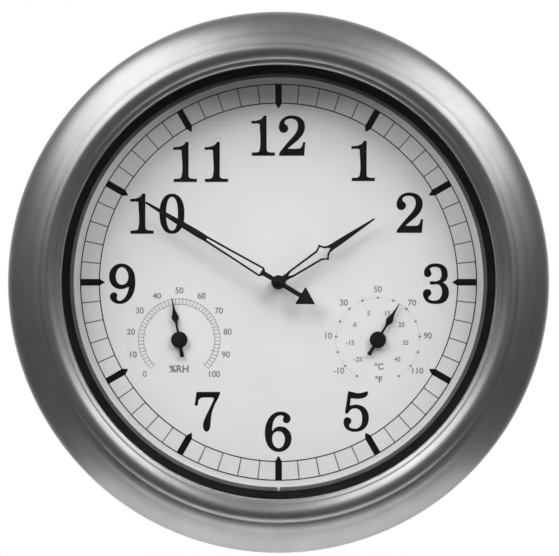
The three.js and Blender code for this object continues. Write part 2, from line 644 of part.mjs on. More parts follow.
function movementCase() {
  const body = block(-CASE_HALF, CASE_HALF, CASE_BOTTOM, CASE_TOP, REAR_CLEARANCE, MOVEMENT_FRONT);
  const chamber = block(
    -CASE_HALF + CASE_WALL, CASE_HALF - CASE_WALL, CHAMBER_BOTTOM, CASE_TOP - CASE_WALL,
    REAR_CLEARANCE - OVERRUN, inside(CASE_WALL),
  );
  const bay = block(-BAY_HALF, BAY_HALF, BAY_BOTTOM, BAY_TOP, REAR_CLEARANCE - OVERRUN, inside(CASE_WALL));
  const coverSeat = block(
    -CASE_HALF - OVERRUN, CASE_HALF + OVERRUN, BAY_TOP + CASE_WALL / 2, CASE_TOP + OVERRUN,
    REAR_CLEARANCE - OVERRUN, inside(COVER_INSET - CONTACT),
  );
  const bush = disc(SHAFT, BUSH_RADIUS, MOVEMENT_FRONT - EMBED, BUSH_FRONT);
  const bore = disc(SHAFT, BUSH_BORE, inside(CASE_WALL) - OVERRUN, BUSH_FRONT + OVERRUN);
  const posts = POST_PLACES.map((place) => disc(
    place, POST_RADIUS, inside(BRIDGE_INSET - CONTACT), inside(CASE_WALL) + EMBED, SMALL_SIDES,
  ));
  const studBack = inside(MINUTE_INSET - LAYER_GAP / 2);
  const stud = disc(MOTION_AXIS, STUD_RADIUS, studBack, inside(CASE_WALL) + EMBED, SMALL_SIDES);
  const bearingBack = inside(CASE_WALL + BEARING_HEIGHT);
  const bearings = BEARING_PLACES.map((place) => cut(
    disc(place, BEARING_RADIUS, bearingBack, inside(CASE_WALL) + EMBED, SMALL_SIDES),
    disc(place, PIVOT_RADIUS + FIT, bearingBack - OVERRUN, inside(CASE_WALL), SMALL_SIDES),
  ));
  const cradles = [-CRADLE_OFFSET, CRADLE_OFFSET].map((x) => block(
    x - CRADLE_WIDTH / 2, x + CRADLE_WIDTH / 2, ROD_HEIGHT - ROD_RADIUS, CASE_TOP - CASE_WALL + EMBED,
    inside(ROD_INSET - ROD_RADIUS - FIT), inside(CASE_WALL) + EMBED,
  ));
  const boardPosts = boardCorners().map((place) => disc(
    place, POST_RADIUS, inside(BOARD_INSET - CONTACT), inside(CASE_WALL) + EMBED, SMALL_SIDES,
  ));
  const hollow = cut(body, chamber, bay, coverSeat);
  return cut(join(hollow, bush, ...posts, stud, ...bearings, ...cradles, ...boardPosts), bore);
}

// The two free corners of the circuit board, inside the case's side walls.
function boardCorners() {
  const aside = CASE_HALF - CASE_WALL - BOARD_MARGIN - POST_RADIUS;
  return [-aside, aside].map((x) => new THREE.Vector2(x, CHAMBER_BOTTOM + BOARD_MARGIN + POST_RADIUS));
}

function buttonPlaces() {
  return [1, 0, -1].map((row) => new THREE.Vector2(BUTTON_COLUMN, row * BUTTON_PITCH));
}

function movementCover() {
  const back = REAR_CLEARANCE;
  const front = inside(COVER_INSET);
  const sheet = block(-CASE_HALF, CASE_HALF, CHAMBER_BOTTOM, CASE_TOP, back, front);
  const buttonHoles = buttonPlaces().map((place) => hole(place, BUTTON_RADIUS + FIT, back, front));
  const { x, y } = SLIDER_PLACE;
  const half = KNOB_SIZE / 2 + FIT;
  const slot = block(x - half, x + SLIDER_TRAVEL + half, y - half, y + half, back - OVERRUN, front + OVERRUN);
  return cut(sheet, ...buttonHoles, slot);
}

function movementBridge() {
  const corners = [POST_PLACES[0], POST_PLACES[1], ROTOR_AXIS, POST_PLACES[2]];
  const centre = new THREE.Vector2();
  for (const corner of corners) centre.addScaledVector(corner, 1 / corners.length);
  const outline = new THREE.Shape(corners.map((corner) => {
    const outward = corner.clone().sub(centre).normalize();
    return corner.clone().addScaledVector(outward, BRIDGE_MARGIN);
  }));
  const [back, front] = [inside(BRIDGE_INSET + BRIDGE_THICKNESS), inside(BRIDGE_INSET)];
  const holes = [SHAFT, ...BEARING_PLACES].map((place) => hole(place, PIVOT_RADIUS + FIT, back, front));
  return cut(plate(outline, back, front), ...holes);
}

function hexNut() {
  const nut = disc(SHAFT, NUT_RADIUS, NUT_BACK, NUT_BACK + NUT_THICKNESS, HEX_SIDES);
  return cut(nut, disc(SHAFT, BUSH_RADIUS + FIT, NUT_BACK - OVERRUN, BUSH_FRONT));
}

function dialWasher() {
  return tube(SHAFT, BUSH_RADIUS + FIT, WASHER_RADIUS, WASHER_BACK, WASHER_BACK + WASHER_THICKNESS);
}

function cushionWasher() {
  return tube(SHAFT, BUSH_RADIUS + FIT, CUSHION_RADIUS, CUSHION_BACK, CUSHION_BACK + CUSHION_THICKNESS);
}

// Gear train

function hourWheel() {
  const [back, front] = [inside(HOUR_INSET + WHEEL_THICKNESS), inside(HOUR_INSET)];
  const wheel = gear(SHAFT, HOUR_MODULE, HOUR_TEETH, HOUR_TURN, back, front);
  const pipe = disc(SHAFT, TUBE_OUTER, back, HOUR_HUB_FRONT);
  return cut(join(wheel, pipe), hole(SHAFT, TUBE_INNER, back, HOUR_HUB_FRONT, ROUND_SIDES));
}

function motionWheel() {
  const [back, front] = [inside(MOTION_INSET + WHEEL_THICKNESS), inside(MOTION_INSET)];
  const pinionFront = inside(HOUR_INSET - LAYER_GAP / 2);
  const both = join(
    gear(MOTION_AXIS, MOTION_MODULE, MOTION_TEETH, MOTION_TURN, back, front),
    gear(MOTION_AXIS, HOUR_MODULE, MOTION_PINION_TEETH, MOTION_PINION_TURN, front - EMBED, pinionFront),
  );
  return cut(both, hole(MOTION_AXIS, STUD_RADIUS + FIT, back, pinionFront));
}

function minuteArbor() {
  const wheelFront = inside(MINUTE_INSET);
  const wheelBack = inside(MINUTE_INSET + WHEEL_THICKNESS);
  const wheel = gear(SHAFT, MINUTE_MODULE, MINUTE_TEETH, MINUTE_TURN, wheelBack, wheelFront);
  const cannonFront = inside(MOTION_INSET - LAYER_GAP / 3);
  const cannon = gear(SHAFT, MOTION_MODULE, CANNON_TEETH, CANNON_TURN, wheelFront - EMBED, cannonFront);
  const arborFront = HAND_NUT_BACK + HAND_NUT_HEIGHT / 2;
  const arbor = disc(SHAFT, ARBOR_RADIUS, inside(BRIDGE_INSET - LAYER_GAP / 2), arborFront, SMALL_SIDES);
  const pivot = disc(SHAFT, PIVOT_RADIUS, inside(BRIDGE_INSET + BRIDGE_THICKNESS), wheelBack, SMALL_SIDES);
  return join(wheel, cannon, arbor, pivot);
}

// An arbor that turns between its bearing in the case and the bridge, with its wheel and pinion.
function pivotedArbor(place) {
  const back = inside(BRIDGE_INSET + BRIDGE_THICKNESS);
  return disc(place, PIVOT_RADIUS, back, inside(CASE_WALL + FIT), SMALL_SIDES);
}

function thirdWheel() {
  const [back, front] = [inside(THIRD_INSET + WHEEL_THICKNESS), inside(THIRD_INSET)];
  const pinionFront = inside(MINUTE_INSET - LAYER_GAP / 3);
  return join(
    pivotedArbor(THIRD_AXIS),
    gear(THIRD_AXIS, THIRD_MODULE, THIRD_TEETH, THIRD_TURN, back, front),
    gear(THIRD_AXIS, MINUTE_MODULE, THIRD_PINION_TEETH, THIRD_PINION_TURN, front - EMBED, pinionFront),
  );
}

function motorRotor() {
  const [back, front] = [inside(MAGNET_INSET + MAGNET_HEIGHT), inside(MAGNET_INSET)];
  const pinionFront = inside(THIRD_INSET - LAYER_GAP / 3);
  return join(
    pivotedArbor(ROTOR_AXIS),
    disc(ROTOR_AXIS, MAGNET_RADIUS, back, front),
    gear(ROTOR_AXIS, THIRD_MODULE, ROTOR_PINION_TEETH, ROTOR_TURN, front - EMBED, pinionFront),
  );
}

// Motor, board, antenna and battery

const BOARD_BACK = inside(BOARD_INSET + BOARD_THICKNESS);
const STATOR_BACK = inside(MAGNET_INSET + (MAGNET_HEIGHT + STATOR_THICKNESS) / 2);
const CORE_HEIGHT = ROTOR_AXIS.y - STATOR_DROP;

function motorStator() {
  const [back, front] = [STATOR_BACK, STATOR_BACK + STATOR_THICKNESS];
  const [left, right] = [ROTOR_AXIS.x - STATOR_SIDE, ROTOR_AXIS.x + STATOR_SIDE];
  const sheet = block(left, right, CORE_HEIGHT - CORE_HALF, ROTOR_AXIS.y + STATOR_SIDE, back, front);
  const rotorHole = hole(ROTOR_AXIS, MAGNET_RADIUS + FIT, back, front, ROUND_SIDES);
  const coilWindow = block(
    ROTOR_AXIS.x - COIL_LENGTH / 2 - FIT, ROTOR_AXIS.x + COIL_LENGTH / 2 + FIT,
    CORE_HEIGHT + CORE_HALF, CORE_HEIGHT + COIL_RADIUS + FIT, back - OVERRUN, front + OVERRUN,
  );
  return cut(sheet, rotorHole, coilWindow);
}

function motorCoil() {
  const [left, right] = [ROTOR_AXIS.x - COIL_LENGTH / 2, ROTOR_AXIS.x + COIL_LENGTH / 2];
  const middle = STATOR_BACK + STATOR_THICKNESS / 2;
  const winding = bar(left, right, COIL_RADIUS, CORE_HEIGHT, middle, SMALL_SIDES);
  const core = block(
    left - OVERRUN, right + OVERRUN, CORE_HEIGHT - CORE_HALF - FIT, CORE_HEIGHT + CORE_HALF + FIT,
    STATOR_BACK - CONTACT, STATOR_BACK + STATOR_THICKNESS + CONTACT,
  );
  return cut(winding, core);
}

function circuitBoard() {
  const half = CASE_HALF - CASE_WALL - BOARD_MARGIN;
  return block(-half, half, CHAMBER_BOTTOM + BOARD_MARGIN, BOARD_TOP, BOARD_BACK, inside(BOARD_INSET));
}

function receiverChip() {
  const half = CHIP_SIZE / 2;
  return block(-half, half, -half, half, BOARD_BACK - CONTACT - CHIP_HEIGHT, BOARD_BACK - CONTACT);
}

function quartzCrystal() {
  const height = BOARD_TOP - BOARD_MARGIN - CRYSTAL_RADIUS;
  const depth = BOARD_BACK - CONTACT - CRYSTAL_RADIUS;
  return bar(-CRYSTAL_LENGTH / 2, CRYSTAL_LENGTH / 2, CRYSTAL_RADIUS, height, depth, SMALL_SIDES);
}

function antennaRod() {
  return bar(-ROD_LENGTH / 2, ROD_LENGTH / 2, ROD_RADIUS, ROD_HEIGHT, inside(ROD_INSET), SMALL_SIDES);
}

function antennaCoil() {
  const half = ANTENNA_COIL_LENGTH / 2;
  const depth = inside(ROD_INSET);
  const winding = bar(-half, half, ANTENNA_COIL_RADIUS, ROD_HEIGHT, depth);
  return cut(winding, bar(-half - OVERRUN, half + OVERRUN, ROD_RADIUS + FIT, ROD_HEIGHT, depth));
}

const BATTERY_DEPTH = inside(CASE_WALL + FIT + BATTERY_RADIUS);

function battery() {
  const half = BATTERY_LENGTH / 2;
  return join(
    bar(-half, half, BATTERY_RADIUS, -BATTERY_DROP, BATTERY_DEPTH),
    bar(half - EMBED, half + NUB_LENGTH, NUB_RADIUS, -BATTERY_DROP, BATTERY_DEPTH, SMALL_SIDES),
  );
}

function contactPlate(left) {
  return new THREE.BoxGeometry(CONTACT_PLATE, CONTACT_WIDTH, CONTACT_WIDTH)
    .translate(left + CONTACT_PLATE / 2, -BATTERY_DEPTH, -BATTERY_DROP);
}

function positiveContact() {
  const left = BAY_HALF - CONTACT - CONTACT_PLATE;
  const right = left + CONTACT_PLATE / 2;
  const nubEnd = BATTERY_LENGTH / 2 + NUB_LENGTH;
  const dimple = bar(nubEnd + FIT, right, NUB_RADIUS, -BATTERY_DROP, BATTERY_DEPTH, SMALL_SIDES);
  return join(contactPlate(left), dimple);
}

function negativeContact() {
  const left = -BAY_HALF + CONTACT;
  const start = left + CONTACT_PLATE / 2;
  const end = -BATTERY_LENGTH / 2 - FIT;
  const spring = bar(start, end, SPRING_RADIUS, -BATTERY_DROP, BATTERY_DEPTH, SMALL_SIDES);
  return join(contactPlate(left), spring);
}

// A push button: its cap stands out of the cover, and its collar keeps it in.
function pushButton(place) {
  const coverFront = inside(COVER_INSET);
  const collarBack = coverFront + CONTACT;
  const collarFront = collarBack + COLLAR_HEIGHT;
  return join(
    disc(place, BUTTON_RADIUS, REAR_CLEARANCE - BUTTON_PROUD, collarBack + EMBED, SMALL_SIDES),
    disc(place, BUTTON_RADIUS + FIT + COLLAR_WIDTH, collarBack, collarFront, SMALL_SIDES),
    disc(place, NOSE_RADIUS, collarFront - EMBED, collarFront + NOSE_HEIGHT, SMALL_SIDES),
  );
}

function zoneSlider() {
  const half = KNOB_SIZE / 2;
  const baseBack = inside(COVER_INSET) + CONTACT;
  const reach = half + FIT + SLIDER_BASE_MARGIN;
  const { x, y } = SLIDER_PLACE;
  return join(
    block(x - half, x + half, y - half, y + half, REAR_CLEARANCE - BUTTON_PROUD, baseBack + EMBED),
    block(x - reach, x + reach, y - reach, y + reach, baseBack, baseBack + COLLAR_HEIGHT),
  );
}

// Hands

function handOnHub(blade, boreRadius, back) {
  const front = back + HAND_HUB_HEIGHT;
  const hub = disc(SHAFT, HAND_HUB_RADIUS, back, front);
  return cut(join(hub, blade), hole(SHAFT, boreRadius, back, front, ROUND_SIDES));
}

// A flat blade along +x with a window in it, from two tables of shares.
function windowedBlade(outline, window, length, half, back) {
  const front = back + HAND_THICKNESS;
  const blade = plate(tapered(outline, length, half), back, front);
  return cut(blade, plate(tapered(window, length, half), back - OVERRUN, front + OVERRUN));
}

// A solid drawn along +x, turned about the shaft to a reading.
function turnedTo(reading, shape) {
  return shape.transform(new THREE.Matrix4().makeRotationY(-pointingTo(reading)).elements);
}

function hourHand() {
  const blade = windowedBlade(
    HOUR_OUTLINE_SHARES, HOUR_WINDOW_SHARES, HOUR_HAND_LENGTH, HOUR_HAND_HALF, HOUR_HAND_BACK,
  );
  return handOnHub(turnedTo(HOUR_READING, blade), TUBE_OUTER + HAND_FIT, HOUR_HAND_BACK);
}

function minuteHand() {
  const [back, front] = [MINUTE_HAND_BACK, MINUTE_HAND_BACK + HAND_THICKNESS];
  const blade = windowedBlade(
    MINUTE_OUTLINE_SHARES, MINUTE_WINDOW_SHARES, MINUTE_HAND_LENGTH, MINUTE_HAND_HALF, back,
  );
  const tail = block(-ARROW_START - EMBED, 0, -TAIL_HALF, TAIL_HALF, back, front);
  const arrow = plate(polygon([
    [-ARROW_START, ARROW_HALF], [-ARROW_START - ARROW_LENGTH, 0], [-ARROW_START, -ARROW_HALF],
  ]), back, front);
  return handOnHub(turnedTo(MINUTE_READING, join(blade, tail, arrow)), ARBOR_RADIUS + HAND_FIT, back);
}

function handNut() {
  const cap = disc(SHAFT, HAND_NUT_RADIUS, HAND_NUT_BACK, HAND_NUT_FRONT);
  const seat = HAND_NUT_BACK + HAND_NUT_HEIGHT / 2 + HAND_FIT;
  return cut(cap, disc(SHAFT, ARBOR_RADIUS + HAND_FIT, HAND_NUT_BACK - OVERRUN, seat));
}

// Thermometer and hygrometer, each drawn about its own spindle

const HOUSING_FRONT = FLOOR_BACK - CONTACT;
const HOUSING_BACK = HOUSING_FRONT - HOUSING_DEPTH;
const SPIRAL_OUTER = HOUSING_RADIUS - HOUSING_WALL - FIT - SPIRAL_STRIP;
const SPIRAL_FRONT = HOUSING_FRONT - HOUSING_WALL - FIT;
const POINTER_BACK = DIAL_FRONT + POINTER_LIFT;

function instrumentHousing() {
  const wallInner = HOUSING_RADIUS - HOUSING_WALL;
  return turned([
    [SPINDLE_COLLAR + FIT, HOUSING_FRONT],
    [HOUSING_RADIUS + HOUSING_FLANGE, HOUSING_FRONT],
    [HOUSING_RADIUS + HOUSING_FLANGE, HOUSING_FRONT - HOUSING_WALL],
    [HOUSING_RADIUS, HOUSING_FRONT - HOUSING_WALL],
    [HOUSING_RADIUS, HOUSING_BACK],
    [wallInner, HOUSING_BACK],
    [wallInner, HOUSING_FRONT - HOUSING_WALL],
    [SPINDLE_COLLAR + FIT, HOUSING_FRONT - HOUSING_WALL],
  ], ROUND_SIDES);
}

function instrumentBridge() {
  const front = HOUSING_BACK - CONTACT;
  const back = front - INSTRUMENT_BRIDGE_THICKNESS;
  const half = INSTRUMENT_BRIDGE_WIDTH / 2;
  const strip = block(-HOUSING_RADIUS, HOUSING_RADIUS, -half, half, back, front);
  return cut(strip, hole(SHAFT, SPINDLE_RADIUS + FIT, back, front));
}

// The measuring coil: a flat strip wound in a spiral, from the spindle's collar out to the housing.
function instrumentSpiral() {
  const [start, end] = [SPIRAL_INNER, SPIRAL_OUTER];
  const steps = Math.round(SPIRAL_TURNS * SPIRAL_STEPS);
  const edge = (offset) => Array.from({ length: steps + 1 }, (_, step) => {
    const radius = start + (end - start) * step / steps + offset;
    const angle = FULL_TURN * step / SPIRAL_STEPS;
    return [radius * Math.cos(angle), radius * Math.sin(angle)];
  });
  const strip = polygon([...edge(0), ...edge(SPIRAL_STRIP).reverse()]);
  return plate(strip, SPIRAL_FRONT - SPIRAL_HEIGHT, SPIRAL_FRONT);
}

function instrumentSpindle() {
  const back = HOUSING_BACK - INSTRUMENT_BRIDGE_THICKNESS - CONTACT;
  const front = POINTER_BACK + POINTER_HUB_HEIGHT / 2;
  return join(
    disc(SHAFT, SPINDLE_RADIUS, back, front, SMALL_SIDES),
    disc(SHAFT, SPINDLE_COLLAR, SPIRAL_FRONT - SPIRAL_HEIGHT, HOUSING_FRONT - HOUSING_WALL, SMALL_SIDES),
  );
}

function instrumentPointer(reading) {
  const [back, front] = [POINTER_BACK, POINTER_BACK + POINTER_THICKNESS];
  const blade = plate(tapered(POINTER_SHARES, POINTER_LENGTH, POINTER_BEAD_HALF), back, front);
  const tail = plate(tapered(POINTER_TAIL_SHARES, -POINTER_TAIL, POINTER_TAIL_HALF), back, front);
  const arms = turnedTo(reading, join(blade, tail));
  const hub = disc(SHAFT, POINTER_HUB_RADIUS, back, back + POINTER_HUB_HEIGHT);
  const boreFront = back + POINTER_HUB_HEIGHT / 2 + HAND_FIT;
  const bore = disc(SHAFT, SPINDLE_RADIUS + HAND_FIT, back - OVERRUN, boreFront, SMALL_SIDES);
  return cut(join(hub, arms), bore);
}

// Materials

function finish(color, roughness, metalness = 0) {
  return new THREE.MeshStandardMaterial({ color, roughness, metalness });
}

const silverPlastic = finish(0xb9bbbd, 0.38, 0.6);
const blackPlastic = finish(0x141414, 0.45);
const greyPlastic = finish(0x3a3b3d, 0.6);
const whiteDial = finish(0xe9e9e7, 0.55);
const clearGlass = finish(0xe8f0f0, 0.05);
clearGlass.transparent = true;
clearGlass.opacity = 0.2;
const rubber = finish(0x1c1c1c, 0.9);
const steel = finish(0xa9abad, 0.35, 1);
const brass = finish(0xc2a35a, 0.35, 1);
const blackPaint = finish(0x121212, 0.4, 0.3);
const whiteNylon = finish(0xeceae2, 0.5);
const copper = finish(0xb0683c, 0.4, 1);
const board = finish(0x1f5a37, 0.6);
const ferrite = finish(0x2a2a2c, 0.7);
const batteryWrap = finish(0x34506e, 0.4);

// Assembly: the clock hangs below the nail, its shaft at the group's own origin.
const clock = new THREE.Group();
clock.position.z = -HANGER_HEIGHT;

function place(name, shape, material, where = SHAFT) {
  const mesh = new THREE.Mesh(geometryOf(shape), material);
  mesh.name = name;
  mesh.position.set(where.x, 0, where.y);
  clock.add(mesh);
}

place("bezel", bezel(), silverPlastic);
place("lens", lens(), clearGlass);
place("lens_gasket", lensGasket(), rubber);
place("dial_ring", dialRing(), blackPlastic);
place("dial", dial(), whiteDial);
place("dial_plate", dialPlate(), greyPlastic);
place("rear_case", rearCase(), greyPlastic);
screwPlaces().forEach((where, turn) => place(`case_screw_${turn + 1}`, caseScrew(where), steel));
place("hanger_plate", hangerPlate(), steel);
hangerScrewPlaces().forEach((where, side) => {
  place(`hanger_spacer_${side + 1}`, hangerSpacer(where), greyPlastic);
  place(`hanger_screw_${side + 1}`, hangerScrew(where), steel);
});

place("hour_hand", hourHand(), blackPaint);
place("minute_hand", minuteHand(), blackPaint);
place("hand_nut", handNut(), blackPaint);
place("bush_nut", hexNut(), brass);
place("dial_washer", dialWasher(), brass);
place("cushion_washer", cushionWasher(), rubber);

place("movement_case", movementCase(), blackPlastic);
place("movement_cover", movementCover(), blackPlastic);
place("movement_bridge", movementBridge(), whiteNylon);
place("hour_wheel", hourWheel(), whiteNylon);
place("motion_wheel", motionWheel(), whiteNylon);
place("minute_arbor", minuteArbor(), brass);
place("third_wheel", thirdWheel(), whiteNylon);
place("motor_rotor", motorRotor(), ferrite);
place("motor_stator", motorStator(), steel);
place("motor_coil", motorCoil(), copper);
place("circuit_board", circuitBoard(), board);
place("receiver_chip", receiverChip(), blackPlastic);
place("quartz_crystal", quartzCrystal(), steel);
place("antenna_rod", antennaRod(), ferrite);
place("antenna_coil", antennaCoil(), copper);
place("battery", battery(), batteryWrap);
place("positive_contact", positiveContact(), steel);
place("negative_contact", negativeContact(), steel);
const buttonNames = ["set_button", "receive_button", "reset_button"];
buttonPlaces().forEach((where, row) => place(buttonNames[row], pushButton(where), whiteNylon));
place("zone_slider", zoneSlider(), whiteNylon);

const [hygrometerPlace, thermometerPlace] = instrumentPlaces();
for (const [name, where, reading, coilMaterial] of [
  ["hygrometer", hygrometerPlace, HYGROMETER_READING, copper],
  ["thermometer", thermometerPlace, THERMOMETER_READING, brass],
]) {
  place(`${name}_housing`, instrumentHousing(), blackPlastic, where);
  place(`${name}_bridge`, instrumentBridge(), steel, where);
  place(`${name}_coil`, instrumentSpiral(), coilMaterial, where);
  place(`${name}_spindle`, instrumentSpindle(), brass, where);
  place(`${name}_pointer`, instrumentPointer(reading), blackPaint, where);
}

export default clock;
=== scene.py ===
import math

import bmesh
import bpy
from mathutils import Matrix, Vector


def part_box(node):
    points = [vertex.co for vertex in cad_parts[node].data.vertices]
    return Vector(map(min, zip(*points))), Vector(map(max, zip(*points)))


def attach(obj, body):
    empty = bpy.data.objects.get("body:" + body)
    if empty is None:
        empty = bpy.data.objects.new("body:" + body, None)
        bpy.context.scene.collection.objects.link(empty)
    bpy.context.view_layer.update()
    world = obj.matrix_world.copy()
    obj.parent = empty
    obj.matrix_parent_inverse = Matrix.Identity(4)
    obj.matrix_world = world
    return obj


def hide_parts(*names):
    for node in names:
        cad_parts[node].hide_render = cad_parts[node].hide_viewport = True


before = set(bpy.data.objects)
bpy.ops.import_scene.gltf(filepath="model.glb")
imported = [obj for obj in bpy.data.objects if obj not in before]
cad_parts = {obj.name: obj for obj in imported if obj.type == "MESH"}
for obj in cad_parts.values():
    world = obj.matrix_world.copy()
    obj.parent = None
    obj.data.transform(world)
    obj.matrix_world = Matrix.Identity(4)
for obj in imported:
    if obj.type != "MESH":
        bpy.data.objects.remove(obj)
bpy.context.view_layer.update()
scene = bpy.context.scene

# Lengths are millimetres, but metres for the floor and the lamps. Places are seen from the front, from the
# shaft of the hands: x to the right and z up. Depths run from the wall forwards, towards the camera.
MM = 0.001
lens_low, lens_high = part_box("lens")
SHAFT = (lens_low + lens_high) / 2

# Curves and edges
RING_SIDES = 360
HOUSING_SIDES = 120
ROUND_SIDES = 64
SMALL_SIDES = 32
FINE_SIDES = 12
WIRE_SIDES = 10
CURVE_STEPS = 8
CORNER_STEPS = 4
EDGE_STEPS = 2
EDGE_PROFILE = 0.5
EDGE = 0.25
WELD = 0.0001
BOX_FACES = [(0, 1, 2, 3), (7, 6, 5, 4), (0, 4, 5, 1), (1, 5, 6, 2), (2, 6, 7, 3), (3, 7, 4, 0)]
SHARP_ANGLE = math.radians(32)
BEVEL_ANGLE = math.radians(40)
TURN = 2 * math.pi
HALF_TURN = math.pi
QUARTER = math.pi / 2

# Frame: the front of its section as radius and depth. Each curve has two handles and its end, and begins
# where the one before it ends.
FRAME_START = (182.9, 38.6)
FRAME_CURVES = [
    [(182.9, 43.8), (183.0, 45.2), (184.0, 45.8)],
    [(185.0, 46.4), (186.2, 46.9), (187.2, 47.0)],
    [(189.8, 49.0), (192.8, 50.2), (196.0, 50.2)],
    [(197.8, 50.2), (199.8, 49.6), (202.0, 48.2)],
    [(204.4, 47.7), (207.8, 46.4), (210.4, 44.8)],
    [(215.6, 42.4), (220.2, 39.6), (223.8, 36.4)],
    [(226.9, 33.7), (228.6, 31.2), (228.6, 28.2)],
]
FRAME_BACK = [
    (226.6, 0.6), (226.0, 0), (224.2, 0), (223.6, 0.6), (225.6, 27.8), (222.4, 35.0), (215.8, 39.4),
    (205.2, 43.8), (198.2, 46.9), (194.4, 46.6), (189.9, 44.2), (189.9, 23.8), (187.9, 23.8), (187.9, 38.6),
]

# Lens and the ring on the dial
LENS_RADIUS = 187.6
LENS_BACK, LENS_FRONT = 34.7, 37.2
OPENING_RADIUS = 182.9
LIP_INNER = 173.2
LIP_OUTER = 176.6
LIP_BACK, LIP_FRONT = 22.5, 23.7
NOTCH_WIDTH = 2.6
RING_GAP = 0.2
DIAL_FRONT = 22.3

# Print on the dial. It lies behind the plane that the picture's scale was taken in.
PRINT_SCALE = 1.0045
INK = 0.05
TRACK_INNER = 150.9
TRACK_OUTER = 166.7
TRACK_LINE = 0.9
MINUTE_LINE = 0.95
MINUTES = 60
HOURS = 12
HOUR_MARK_HALF = 2.8
HOUR_MARK_END = 150.6
HOUR_MARK_TIP = 146.0
HOUR_MARK_ROUNDING = 0.7
DIGIT_HEIGHT = 33.8
DIGIT_UNITS = 100
SHORTEST = 1e-6
# The middle of each number and the gap between its digits. Four and eight make room for the instruments.
NUMBERS = {
    "12": (-0.2, 123.4, 3.2), "1": (71.3, 102.1, 0), "2": (110.5, 58.5, 0), "3": (132.5, -1.2, 0),
    "5": (65.3, -108.7, 0), "6": (-0.3, -125.8, 0), "7": (-59.9, -109.2, 0), "9": (-131.7, -1.2, 0),
    "10": (-102.1, 57.7, 4.8), "11": (-65.5, 101.3, 6.4),
}
